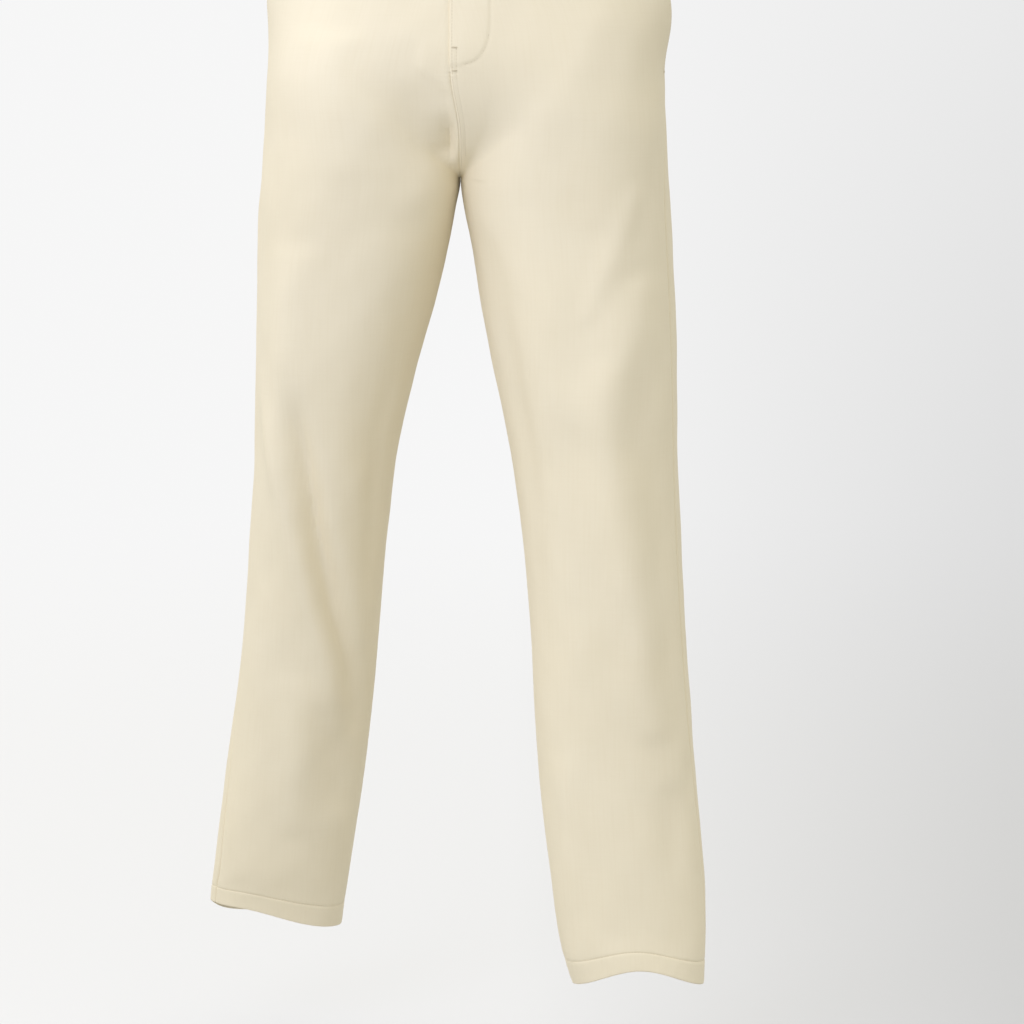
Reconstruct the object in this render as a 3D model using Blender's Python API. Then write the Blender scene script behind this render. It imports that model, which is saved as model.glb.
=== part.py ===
"""Chino trousers in the pose of a standing wearer, hollow, each cut piece a closed wall of cloth.

Tables and sizes are in millimetres and the scene is in metres. The origin is the middle of the waist
opening at the top edge of the waistband, +Z is up, the front faces -Y and +X is the wearer's left. Heights
are negative.

Each side of the trousers is a stack of rings. Below the crotch a ring is one closed leg section; above it
the ring opens at the centre front and centre back seams. A place on a ring is its distance in millimetres
round the cloth from the outermost line of the hip and leg, positive round the front and negative round the
back.
"""

import math
from collections import namedtuple
from functools import lru_cache

import bmesh
import bpy
import numpy as np
from mathutils import Matrix

MM = 0.001
LEFT, RIGHT = 1, -1
FRONT, BACK = 1, -1
SIDE_NAMES = {LEFT: "left", RIGHT: "right"}

# Cloth and seams
CLOTH = 1.3
BAND_CLOTH = 2.4
BAND_PROUD = 0.5
SEAM_GAP = 0.3
LAYER_GAP = 0.3
CURVED_LAYER_GAP = 0.8

# Heights of the cut
BAND_DEPTH = 40.0
CROTCH = -272.0
HEM = {LEFT: -1081.0, RIGHT: -1072.0}
HEM_DEPTH = 25.0
KNEE = -570.0
FRONT_CURVE = 135.0
BACK_CURVE = 160.0
TWIST_TOP, TWIST_END = -168.0, -232.0
PELVIS_TWIST = 0.07

# Shape of the sections: 2 is an ellipse, more is squarer
LEG_SQUARENESS = 2.2
BODY_SQUARENESS = 2.3
THIGH_BLEND = 20.0

# Slant pocket
MOUTH_END = -171.0
MOUTH_SLANT = 36.0
MOUTH_GAPE = {LEFT: 13.5, RIGHT: 8.5}
GAPE_REACH = 38.0
GAPE_RISE = 1.6
FACING_UNDERLAP = 34.0
FACING_END = -200.0
FACING_TURN = 12.0
FACING_SET_BACK = 3.0
FACING_STEP_IN = 12.0

# Hem lifted over the instep: how high, where round the front (0 outer, 1 inner), reach along the hem, fade up
HEM_LIFT = {LEFT: 27.0, RIGHT: 28.0}
HEM_LIFT_ACROSS = {LEFT: 0.5, RIGHT: 0.3}
HEM_LIFT_REACH = {LEFT: 58.0, RIGHT: 74.0}
HEM_LIFT_FADE = 80.0

# Fly and waist closing
UNDERLAP = 38.0
TUCK_START, TUCK_RUN = 22.0, 20.0
FLY_END = -155.0
SHIELD_RIGHT, SHIELD_LEFT = -16.0, 26.0
SHIELD_SEWN, SHIELD_RISE = 2.0, 9.0
ZIP_HALF_WIDTH = 11.0
ZIP_TAPE = 1.0
ZIP_TOP = -56.0
SLIDER_WIDTH, SLIDER_HEIGHT, SLIDER_PLATE = 8.0, 11.0, 1.3
SLIDER_ABOVE_TAPE = 4.0
ZIP_INSET = CLOTH + CURVED_LAYER_GAP + SLIDER_PLATE + LAYER_GAP
SHIELD_INSET = ZIP_INSET + ZIP_TAPE + SLIDER_PLATE + 3 * LAYER_GAP
BUTTON_RADIUS, BUTTON_THICKNESS, BUTTON_WEB = 8.5, 3.0, 1.9
BUTTON_RIM, BUTTON_ROUNDING = 2.2, 0.8
BUTTON_FROM_CENTRE = 15.0
BUTTON_STAND_OFF = 0.5
BUTTON_HOLE_RADIUS, BUTTON_HOLE_SPREAD = 0.9, 1.7
BUTTON_STEPS = 24

# Belt loops
LOOP_WIDTH = 11.0
LOOP_STAND_OFF = 6.5
LOOP_CLOTH = 1.4
LOOP_TACK = 3.4
LOOP_BELOW_BAND = 6.5
LOOP_BEND = 4.0
FRONT_LOOP_FROM_CENTRE = 64.0

# Back welt pockets
WELT_LENGTH, WELT_DEPTH, WELT_CLOTH = 135.0, 12.0, 1.4
WELT_STAND_OFF = 0.4
WELT_TOP = -112.0
WELT_FROM_CENTRE = 62.0

# Mesh fineness
COLUMNS = 14
SHIN_ROWS, THIGH_ROWS = 16, 10
FACING_COLUMNS = 8
BAND_COLUMNS, UNDERLAP_COLUMNS = 30, 4
FLY_COLUMNS = 8
WELT_COLUMNS = 10
CURVE_ROWS = 8
HIP_ROWS = 5
RING_STEPS = 72
NORMAL_STEP = 1.5
INNER_CROWDING = 4

Ring = namedtuple("Ring", "height outer inner front back middle seam")
# outer and inner: the leg's outline seen from the front. front and back: its outline seen from the side.
# middle: depth of the outermost line. seam: how far the side seam lies forward of that line.
# Above the crotch, outer is the hip and the rest is the thigh's fullness under the hip.
RINGS = {
    LEFT: (
        Ring(0, 168, 0, -70, 72, 0, 0),
        Ring(-40, 175, 0, -78, 84, 0, 0),
        Ring(-80, 191, 0, -90, 102, 0, 0),
        Ring(-120, 200, 0, -102, 124, 0, 1),
        Ring(-160, 201, 0, -109, 138, 0, 5),
        Ring(-200, 202.5, 0, -110, 139, 0, 16),
        Ring(-235, 204, 0, -106, 130, 0, 27),
        Ring(-272, 205.5, 0, -101, 119, 0, 35),
        Ring(-300, 207.3, 3.2, -97.5, 113, 1, 38),
        Ring(-340, 210, 11, -95, 107, 3, 40),
        Ring(-400, 213, 20.5, -93, 99, 3, 39),
        Ring(-480, 215.5, 37, -89, 89, 0, 36),
        Ring(-560, 217, 52, -86, 80, -3, 33),
        Ring(-640, 220, 62.5, -84, 70, -7, 30),
        Ring(-720, 224.5, 69.5, -83, 60, -11, 28),
        Ring(-800, 230.5, 73, -81, 50, -15, 25),
        Ring(-880, 237, 79, -79.5, 41, -19, 18),
        Ring(-960, 243.5, 88.5, -80, 34, -23, 12),
        Ring(-1020, 246.5, 96, -81.5, 30, -26, 10),
        Ring(-1050, 246, 102, -83.5, 29, -28, 9),
        Ring(-1085, 245, 113, -87, 29, -29, 8),
    ),
    RIGHT: (
        Ring(0, -168, 0, -70, 72, 0, 0),
        Ring(-40, -173, 0, -78, 84, 0, 0),
        Ring(-80, -178.5, 0, -90, 102, 0, 0),
        Ring(-120, -181.5, 0, -102, 124, 0, 0),
        Ring(-160, -187, 0, -109, 138, 0, 0),
        Ring(-200, -191, 0, -110, 140, 0, 0),
        Ring(-235, -193.3, 0, -106, 133, 0, 0),
        Ring(-272, -195.9, 0, -100, 126, 0, 0),
        Ring(-300, -199, -4.5, -92.5, 125, 7, 0),
        Ring(-340, -201.5, -12, -81, 130, 20, 0),
        Ring(-400, -205, -27, -64.5, 140, 36, 0),
        Ring(-480, -208, -49.5, -43, 153, 54, 0),
        Ring(-560, -211, -67, -20, 165, 72, 0),
        Ring(-640, -217.5, -77, 5, 175, 90, 0),
        Ring(-720, -225, -84.5, 28, 187, 108, 1),
        Ring(-800, -234.5, -92, 51, 199, 125, 9),
        Ring(-880, -246.5, -101.5, 75, 210, 143, 24),
        Ring(-960, -259, -113.5, 98, 222, 160, 28),
        Ring(-1020, -266.5, -123, 115, 231.5, 173, 28),
        Ring(-1050, -269.5, -128, 122, 237, 180, 28),
        Ring(-1085, -272, -132.5, 130, 244, 187, 28),
    ),
}

Hip = namedtuple("Hip", "height front back")
# Depth of the centre front and centre back seams above their curves
HIPS = (
    Hip(0, -102, 104),
    Hip(-40, -105, 112),
    Hip(-80, -109, 126),
    Hip(-120, -113, 140),
    Hip(-160, -115, 149),
    Hip(-200, -115, 151),
    Hip(-272, -113, 142),
)

Fold = namedtuple("Fold", "side face height across to_height to_across bow width depth")
# A soft ridge (depth above 0) or trough along a line in the unrolled cloth. across runs from 0 at the
# outermost line to 1 at the inseam or centre seam; bow bends the line's middle, towards the front if above 0.
FOLDS = (
    Fold(LEFT, FRONT, -352, 0.18, -520, 0.46, 0, 26, 5.0),
    Fold(LEFT, FRONT, -470, 0.46, -910, 0.15, 22, 24, 5.5),
    Fold(LEFT, FRONT, -420, 0.16, -760, 0.10, 0, 30, -4.0),
    Fold(LEFT, FRONT, -318, 0.92, -430, 0.46, 0, 13, -2.0),
    Fold(LEFT, FRONT, -655, 0.90, -575, 0.58, 0, 11, -1.8),
    Fold(LEFT, FRONT, -880, 0.92, -960, 0.66, 0, 15, -2.2),
    Fold(RIGHT, FRONT, -505, 0.24, -815, 0.74, -10, 13, -4.5),
    Fold(RIGHT, FRONT, -520, 0.45, -730, 0.66, 0, 20, 3.5),
    Fold(RIGHT, FRONT, -740, 0.44, -960, 0.50, 0, 24, 4.0),
    Fold(RIGHT, FRONT, -325, 0.92, -390, 0.60, 0, 16, -3.0),
    Fold(RIGHT, FRONT, -330, 0.80, -560, 0.84, 0, 26, -3.5),
    Fold(LEFT, BACK, -300, 0.86, -345, 0.34, 0, 15, -4.0),
    Fold(LEFT, BACK, -560, 0.80, -610, 0.22, 8, 14, -4.0),
    Fold(LEFT, BACK, -600, 0.72, -672, 0.30, -6, 15, -3.5),
    Fold(LEFT, BACK, -860, 0.35, -1010, 0.55, 0, 18, -4.0),
    Fold(RIGHT, BACK, -305, 0.84, -352, 0.30, 0, 16, -4.0),
    Fold(RIGHT, BACK, -575, 0.76, -618, 0.26, 6, 14, -4.0),
    Fold(RIGHT, BACK, -628, 0.82, -690, 0.34, -8, 15, -3.0),
    Fold(RIGHT, BACK, -880, 0.60, -1010, 0.36, 0, 18, -4.0),
)
FOLD_EDGE_FADE = 26.0
FOLD_REACH = 60.0
FOLD_TAPER = 0.8


def smooth_step(value):
    value = np.clip(value, 0.0, 1.0)
    return value * value * (3 - 2 * value)


def along_table(rows, height):
    """A row at this height, on a smooth curve through the table's rows."""
    heights = [row.height for row in rows]
    last = len(rows) - 1
    below = next((place for place in range(1, last) if heights[place] <= height), last)
    above = below - 1
    span = heights[below] - heights[above]
    step = (height - heights[above]) / span
    values = []
    for column in zip(*rows):
        slopes = []
        for place in (above, below):
            before, after = max(place - 1, 0), min(place + 1, last)
            slopes.append((column[after] - column[before]) / (heights[after] - heights[before]) * span)
        start, end = column[above], column[below]
        rise = end - start
        values.append(
            start
            + slopes[0] * step * (1 - step) ** 2
            + rise * step * step * (3 - 2 * step)
            - slopes[1] * step * step * (1 - step)
        )
    return type(rows[0])(*values)


def soft_max(first, second, blend):
    """The larger of two depths, rounded where they meet within this blend."""
    near = np.clip(blend - np.abs(first - second), 0.0, None)
    return np.maximum(first, second) + near * near / np.maximum(4 * blend, 1e-6)


def curve_share(height, curve):
    """How much of its full depth the centre seam has at this height: 0 at the crotch, 1 above the curve."""
    left = 1 - np.clip((height - CROTCH) / curve, 0.0, 1.0)
    return math.sqrt(1 - left * left)


def twist(height):
    """The hips turn a little, so depth shifts sideways; the turn ends at the crotch."""
    return PELVIS_TWIST * float(smooth_step((height - TWIST_END) / (TWIST_TOP - TWIST_END)))


def half_ring(side, height, face):
    """Points of the front or back half of a ring, from the outermost line to the inner edge."""
    ring = along_table(RINGS[side], height)
    outer, inner = side * ring.outer, max(side * ring.inner, SEAM_GAP / 2)
    if height >= CROTCH:
        inner = SEAM_GAP / 2
    angle = np.linspace(0.0, math.pi, RING_STEPS + 1)
    across = np.sign(np.cos(angle)) * np.abs(np.cos(angle)) ** (2 / LEG_SQUARENESS)
    x = (outer + inner) / 2 + (outer - inner) / 2 * across
    leg_edge = ring.front if face == FRONT else ring.back
    depth = abs(leg_edge - ring.middle) * np.abs(np.sin(angle)) ** (2 / LEG_SQUARENESS)
    if height > CROTCH:
        hip = along_table(HIPS, height)
        share = curve_share(height, FRONT_CURVE if face == FRONT else BACK_CURVE)
        seam_depth = share * abs((hip.front if face == FRONT else hip.back) - ring.middle)
        round_body = np.clip(1 - (x / outer) ** BODY_SQUARENESS, 0.0, 1.0) ** (1 / BODY_SQUARENESS)
        blend = THIGH_BLEND * share * (1 - (x / outer) ** 2) ** 2
        depth = soft_max(depth, seam_depth * round_body, blend)
    y = ring.middle - face * depth
    return side * x + (y - ring.middle) * twist(height), y


@lru_cache(maxsize=None)
def ring_line(side, height):
    """A whole ring as arrays: place round the cloth, x, y and the outward direction at each point."""
    front_x, front_y = half_ring(side, height, FRONT)
    back_x, back_y = half_ring(side, height, BACK)
    x = np.concatenate((back_x[:0:-1], front_x))
    y = np.concatenate((back_y[:0:-1], front_y))
    steps = np.hypot(np.diff(x), np.diff(y))
    place = np.concatenate(((0.0,), np.cumsum(steps)))
    place -= place[RING_STEPS]
    run_x, run_y = np.gradient(x, place), np.gradient(y, place)
    size = np.hypot(run_x, run_y)
    return place, x, y, -side * run_y / size, side * run_x / size


def ring_end(side, height, face):
    """Distance round the cloth from the outermost line to the inseam or centre seam."""
    place = ring_line(side, height)[0]
    return abs(place[-1] if face == FRONT else place[0])


def seam_place(side, height):
    return along_table(RINGS[side], height).seam


def mouth_place(side, height):
    """The front panel's outer edge: the side seam, then the slanted pocket mouth above it."""
    up = max(0.0, (height - MOUTH_END) / (-BAND_DEPTH - MOUTH_END))
    return seam_place(side, height) + MOUTH_SLANT * up


def fold_height(side, height, place):
    """Sum of the folds at these places of one ring."""
    total = np.zeros_like(place)
    for fold in FOLDS:
        low, high = sorted((fold.height, fold.to_height))
        if fold.side != side or not low - FOLD_REACH < height < high + FOLD_REACH:
            continue
        start = np.array((fold.face * fold.across * ring_end(side, fold.height, fold.face), fold.height))
        far_end = ring_end(side, fold.to_height, fold.face)
        end = np.array((fold.face * fold.to_across * far_end, fold.to_height))
        run = end - start
        length = math.hypot(*run)
        run = run / length
        along = ((place - start[0]) * run[0] + (height - start[1]) * run[1]) / length
        aside = (place - start[0]) * -run[1] + (height - start[1]) * run[0]
        inside = np.clip(along, 0.0, 1.0)
        aside = aside - math.copysign(fold.bow, -run[1]) * 4 * inside * (1 - inside)
        taper = np.sin(math.pi * inside) ** FOLD_TAPER
        total += fold.depth * taper * np.exp(-((aside / fold.width) ** 2))
    ends = np.where(place >= 0, ring_end(side, height, FRONT), ring_end(side, height, BACK))
    return total * smooth_step((ends - np.abs(place)) / FOLD_EDGE_FADE)


def hem_lift(side, height, place):
    """How far the cloth near the hem is pushed up over the instep."""
    fade = 1 - smooth_step((height - HEM[side]) / HEM_LIFT_FADE)
    centre = HEM_LIFT_ACROSS[side] * ring_end(side, height, FRONT)
    return HEM_LIFT[side] * fade * np.exp(-(((place - centre) / HEM_LIFT_REACH[side]) ** 2))


def skin(side, height, place, gape=0.0):
    """Points on the cloth's outer face at one height, for an array of places round it."""
    ring_place, x, y, out_x, out_y = ring_line(side, height)
    place = np.asarray(place, dtype=float)
    rise = fold_height(side, height, place) + gape
    return np.stack(
        (
            np.interp(place, ring_place, x) + rise * np.interp(place, ring_place, out_x),
            np.interp(place, ring_place, y) + rise * np.interp(place, ring_place, out_y),
            height + hem_lift(side, height, place),
        ),
        axis=-1,
    )


def outward(side, height, place, points, gape=0.0):
    """Unit outward directions of the cloth at these points."""
    forward = np.where(place + NORMAL_STEP > ring_end(side, height, FRONT), -NORMAL_STEP, NORMAL_STEP)
    round_cloth = (skin(side, height, place + forward, gape) - points) * np.sign(forward)[:, None]
    down = skin(side, height - NORMAL_STEP, place, gape) - points
    normal = np.cross(round_cloth, down) * side
    return normal / np.linalg.norm(normal, axis=1)[:, None]


def mouth_gape(side, height, place):
    """How far the front panel stands off along the pocket mouth."""
    up = np.clip((height - MOUTH_END) / (-BAND_DEPTH - MOUTH_END), 0.0, 1.0)
    reach = np.exp(-(((place - mouth_place(side, height)) / GAPE_REACH) ** 2))
    return MOUTH_GAPE[side] * math.sin(math.pi * up**GAPE_RISE) * reach


def row_heights(side):
    """Heights of the panel rows: hem, even rows to the knee and the crotch, rows up the curve, hip rows."""
    hem_fold = HEM[side] + HEM_DEPTH
    shin = np.linspace(hem_fold, KNEE - SEAM_GAP / 2, SHIN_ROWS + 1)
    thigh = np.linspace(KNEE + SEAM_GAP / 2, CROTCH, THIGH_ROWS)
    turn = np.linspace(0.0, math.pi / 2, CURVE_ROWS + 1)[1:]
    curve = CROTCH + (FRONT_CURVE + BACK_CURVE) / 2 * (1 - np.cos(turn))
    hip = np.linspace(curve[-1], -BAND_DEPTH - SEAM_GAP, HIP_ROWS + 1)[1:]
    return [HEM[side], *shin, *thigh, *curve, *hip]


def panel_places(side, height, face):
    """Places round one panel at one height, from its outer edge to its inner edge."""
    share = np.linspace(0.0, 1.0, COLUMNS + 1)
    end = ring_end(side, height, face) - (SEAM_GAP / 2 if height <= CROTCH else 0.0)
    start = mouth_place(side, height) if face == FRONT else seam_place(side, height)
    start = face * start + SEAM_GAP / 2
    straight = min(end, ring_end(side, CROTCH + FRONT_CURVE, face))
    return face * (start + share * (straight - start) + (end - straight) * share**INNER_CROWDING)


def clear_scene():
    for thing in list(bpy.data.objects):
        bpy.data.objects.remove(thing)


def material(name, colour, roughness, metallic=0.0):
    made = bpy.data.materials.new(name)
    made.use_nodes = True
    shader = made.node_tree.nodes["Principled BSDF"]
    shader.inputs["Base Color"].default_value = (*colour, 1.0)
    shader.inputs["Roughness"].default_value = roughness
    shader.inputs["Metallic"].default_value = metallic
    return made


def finish(name, bm, look):
    bmesh.ops.recalc_face_normals(bm, faces=bm.faces)
    mesh = bpy.data.meshes.new(name)
    bm.to_mesh(mesh)
    bm.free()
    mesh.materials.append(look)
    made = bpy.data.objects.new(name, mesh)
    bpy.context.scene.collection.objects.link(made)
    return made


def wall(name, look, outer, inner):
    """A closed wall between two grids of points, each an array of rows by columns by 3, in millimetres."""
    rows, columns = outer.shape[:2]
    bm = bmesh.new()
    bmesh.ops.create_grid(bm, x_segments=columns - 1, y_segments=rows - 1, size=1.0)
    grid = {}
    for vert in bm.verts:
        column = round((vert.co.x + 1) / 2 * (columns - 1))
        row = round((vert.co.y + 1) / 2 * (rows - 1))
        grid[vert] = (row, column)
        vert.co = inner[row, column] * MM
    spot = {tuple(np.round(vert.co, 7)): place for vert, place in grid.items()}
    made = bmesh.ops.extrude_face_region(bm, geom=bm.faces[:], use_keep_orig=True)
    for vert in made["geom"]:
        if isinstance(vert, bmesh.types.BMVert):
            vert.co = outer[spot[tuple(np.round(vert.co, 7))]] * MM
    return finish(name, bm, look)


def cloth_rows(side, heights, places_at, outset=0.0, thickness=CLOTH, gape_at=None):
    """Outer and inner grids of a wall that follows one side's skin, moved out by outset."""
    outer, inner = [], []
    for height in heights:
        place = places_at(height)
        gape = gape_at(height, place) if gape_at else np.zeros_like(place)
        points = skin(side, height, place, gape)
        normal = outward(side, height, place, points, gape)
        moved = outset(height, place)[:, None] if callable(outset) else outset
        outer.append(points + normal * moved)
        inner.append(points + normal * (moved - thickness))
    return np.array(outer), np.array(inner)


def panel(side, face, look):
    """A front or back leg panel, hem to waistband: one wall from the knee line up, and one below it."""

    def gape_at(height, place):
        return mouth_gape(side, height, place) if face == FRONT else np.zeros_like(place)

    def places_at(height):
        return panel_places(side, height, face)

    name = ("front_" if face == FRONT else "back_") + SIDE_NAMES[side]
    upper = [height for height in row_heights(side) if height > KNEE]
    shin = [height for height in row_heights(side) if height < KNEE]
    wall(name, look, *cloth_rows(side, upper, places_at, gape_at=gape_at))
    wall(name + "_shin", look, *cloth_rows(side, shin, places_at))


def hem_turn(side, face, look):
    """The turned-up hem inside one panel, on the panel's own columns."""

    def places_at(height):
        return panel_places(side, height, face)

    name = ("hem_front_" if face == FRONT else "hem_back_") + SIDE_NAMES[side]
    heights = row_heights(side)[:2]
    return wall(name, look, *cloth_rows(side, heights, places_at, -(CLOTH + LAYER_GAP)))


def pocket_facing(side, look):
    """The piece behind the slanted mouth: level with the back at the side seam, then under the front."""
    heights = [height for height in row_heights(side) if height >= FACING_END]
    under = -(CLOTH + CURVED_LAYER_GAP)

    def places_at(height):
        hidden = smooth_step((MOUTH_END + FACING_STEP_IN - height) / (2 * FACING_STEP_IN))
        start = seam_place(side, height) + SEAM_GAP / 2 + FACING_SET_BACK * hidden
        return np.linspace(start, mouth_place(side, height) + FACING_UNDERLAP, FACING_COLUMNS + 1)

    def outset(height, place):
        open_side = (mouth_place(side, height) - place) / FACING_TURN
        return under * (1 - smooth_step(open_side))

    return wall("pocket_facing_" + SIDE_NAMES[side], look, *cloth_rows(side, heights, places_at, outset))


def share_place(side, height, share):
    """The place at a share of the way round: -1 centre back, 0 the outermost line, 1 centre front."""
    return share * np.where(share >= 0, ring_end(side, height, FRONT), ring_end(side, height, BACK))


def band_points(side, height, share):
    """Points and outward directions of the waist at a height; shares past 1 go on round the other side."""
    own = share_place(side, height, np.minimum(share, 1.0))
    points = skin(side, height, own)
    normal = outward(side, height, own, points)
    if share.max() > 1:
        past = np.maximum(share - 1, 0.0) * ring_end(side, height, FRONT)
        beyond = ring_end(-side, height, FRONT) - past
        far_points = skin(-side, height, beyond)
        far_normal = outward(-side, height, beyond, far_points)
        over = (share > 1)[:, None]
        points, normal = np.where(over, far_points, points), np.where(over, far_normal, normal)
    return points, normal


def waistband(side, look):
    """Half a waistband; the right one goes on under the left one as the button underlap."""
    share = np.linspace(-1.0, 1.0, BAND_COLUMNS + 1)
    tuck = np.zeros_like(share)
    if side == RIGHT:
        half_band = ring_end(side, -BAND_DEPTH / 2, FRONT)
        past = np.linspace(0.0, UNDERLAP / half_band, UNDERLAP_COLUMNS + 1)[1:]
        share = np.concatenate((share, 1 + past))
        tucked = smooth_step(((share - 1) * half_band + TUCK_START) / TUCK_RUN)
        tuck = (BAND_CLOTH + LAYER_GAP) * tucked
    outer, inner = [], []
    for height in np.linspace(-BAND_DEPTH, 0.0, 3):
        points, normal = band_points(side, height, share)
        outer.append(points + normal * (BAND_PROUD - tuck[:, None]))
        inner.append(points + normal * (BAND_PROUD - tuck[:, None] - BAND_CLOTH))
    return wall("waistband_" + SIDE_NAMES[side], look, np.array(outer), np.array(inner))


def front_strip(height, offsets):
    """Points and outward directions beside the centre front seam; offsets run to the wearer's left."""
    points, normal = np.empty((len(offsets), 3)), np.empty((len(offsets), 3))
    for side in (LEFT, RIGHT):
        here = offsets >= 0 if side == LEFT else offsets < 0
        place = ring_end(side, height, FRONT) - np.abs(offsets[here])
        points[here] = skin(side, height, place)
        normal[here] = outward(side, height, place, points[here])
    return points, normal


def front_layer(heights, offsets, inset, thickness):
    """Grids of a layer behind the fly; inset is how far its outer face lies in, for each offset."""
    outer, inner = [], []
    for height in heights:
        points, normal = front_strip(height, offsets)
        outer.append(points - normal * inset[:, None])
        inner.append(points - normal * (inset[:, None] + thickness))
    return np.array(outer), np.array(inner)


def fly_shield(look):
    """The shield behind the zip: against the right front at its seam, clear of the slider in the middle."""
    offsets = np.linspace(SHIELD_RIGHT, SHIELD_LEFT, FLY_COLUMNS + 1)
    near = CLOTH + CURVED_LAYER_GAP
    rise = smooth_step((offsets - SHIELD_RIGHT - SHIELD_SEWN) / SHIELD_RISE)
    inset = near + (SHIELD_INSET - near) * rise
    heights = [height for height in row_heights(LEFT) if height > FLY_END]
    return wall("fly_shield", look, *front_layer(heights, offsets, inset, CLOTH))


def zip_tape(look):
    """The closed zip's tape; its left edge lies against the left front, where the fly facing is sewn."""
    offsets = np.linspace(-ZIP_HALF_WIDTH, ZIP_HALF_WIDTH, FLY_COLUMNS - 1)
    near = CLOTH + CURVED_LAYER_GAP
    inset = ZIP_INSET - (ZIP_INSET - near) * smooth_step(2 * np.abs(offsets) / ZIP_HALF_WIDTH - 1)
    heights = [height for height in row_heights(LEFT) if FLY_END < height < ZIP_TOP]
    return wall("zip_tape", look, *front_layer(heights, offsets, inset, ZIP_TAPE))


def box(bm, low, high):
    """Adds a box between two corners, in millimetres."""
    for vert in bmesh.ops.create_cube(bm, size=1.0)["verts"]:
        vert.co = [((value + 0.5) * (top - base) + base) * MM for value, base, top in zip(vert.co, low, high)]


def join_solids(name, look, parts):
    """One closed solid from several overlapping ones, given as (low, high) boxes."""
    base = None
    for number, (low, high) in enumerate(parts):
        bm = bmesh.new()
        box(bm, low, high)
        made = finish(name if number == 0 else "added", bm, look)
        if base is None:
            base = made
            continue
        union = base.modifiers.new("union", "BOOLEAN")
        union.operation = "UNION"
        union.object = made
        made.hide_render = True
        made.display_type = "WIRE"
        made.parent = base
    return base


def seat_on_front(made, height, from_centre, outset):
    """Moves a piece modelled flat, -Y out and Z up, onto the skin this far left of the centre front seam."""
    points, normal = front_strip(height, np.array((from_centre,)))
    made.location = (points[0] + normal[0] * outset) * MM
    turn = math.atan2(normal[0][0], -normal[0][1])
    lean = math.asin(normal[0][2])
    made.rotation_euler = (-lean, 0, turn)


def zip_slider(look):
    """The slider at the top of the zip: two plates joined over the end of the tape."""
    half, gap, plate = SLIDER_WIDTH / 2, ZIP_TAPE / 2 + LAYER_GAP, SLIDER_PLATE
    top, foot, post = SLIDER_ABOVE_TAPE, SLIDER_ABOVE_TAPE - SLIDER_HEIGHT, SLIDER_WIDTH * 3 / 8
    boxes = (
        ((-half, -gap - plate, foot), (half, -gap, top)),
        ((-half, gap, foot), (half, gap + plate, top)),
        ((-post, -gap - plate / 2, LAYER_GAP), (post, gap + plate / 2, top - LAYER_GAP)),
    )
    slider = join_solids("zip_slider", look, boxes)
    tape_end = max(height for height in row_heights(LEFT) if height < ZIP_TOP)
    seat_on_front(slider, tape_end, 0.0, -(ZIP_INSET + ZIP_TAPE / 2))


def waist_button(look):
    """A four-hole button on the outside of the left waistband end."""
    radius, round_off, top = BUTTON_RADIUS, BUTTON_ROUNDING, BUTTON_THICKNESS
    dish = radius - BUTTON_RIM
    profile = ((0, 0), (radius - round_off, 0), (radius, round_off), (radius, top - round_off),
               (radius - round_off, top), (dish, top), (dish - round_off, BUTTON_WEB), (0, BUTTON_WEB))
    bm = bmesh.new()
    verts = [bm.verts.new((out * MM, -rise * MM, 0)) for out, rise in profile]
    edges = [bm.edges.new(pair) for pair in zip(verts, verts[1:])]
    bmesh.ops.spin(bm, geom=verts + edges, cent=(0, 0, 0), axis=(0, 1, 0), angle=math.tau,
                   steps=BUTTON_STEPS, use_merge=True)
    bmesh.ops.remove_doubles(bm, verts=bm.verts, dist=0.01 * MM)
    button = finish("waist_button", bm, look)
    for number in range(4):
        angle = math.pi / 4 + number * math.pi / 2
        across, up = BUTTON_HOLE_SPREAD * math.cos(angle), BUTTON_HOLE_SPREAD * math.sin(angle)
        bm = bmesh.new()
        bmesh.ops.create_cone(bm, cap_ends=True, segments=8, radius1=BUTTON_HOLE_RADIUS * MM,
                              radius2=BUTTON_HOLE_RADIUS * MM, depth=4 * BUTTON_THICKNESS * MM)
        bmesh.ops.rotate(bm, verts=bm.verts, cent=(0, 0, 0), matrix=Matrix.Rotation(math.pi / 2, 3, "X"))
        bmesh.ops.translate(bm, verts=bm.verts, vec=(across * MM, 0, up * MM))
        cutter = finish(f"button_hole_{number}", bm, look)
        cutter.hide_render = True
        cutter.display_type = "WIRE"
        cutter.parent = button
        cut = button.modifiers.new(f"hole {number}", "BOOLEAN")
        cut.operation = "DIFFERENCE"
        cut.object = cutter
    seat_on_front(button, -BAND_DEPTH / 2, BUTTON_FROM_CENTRE, BAND_PROUD + BUTTON_STAND_OFF)


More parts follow.
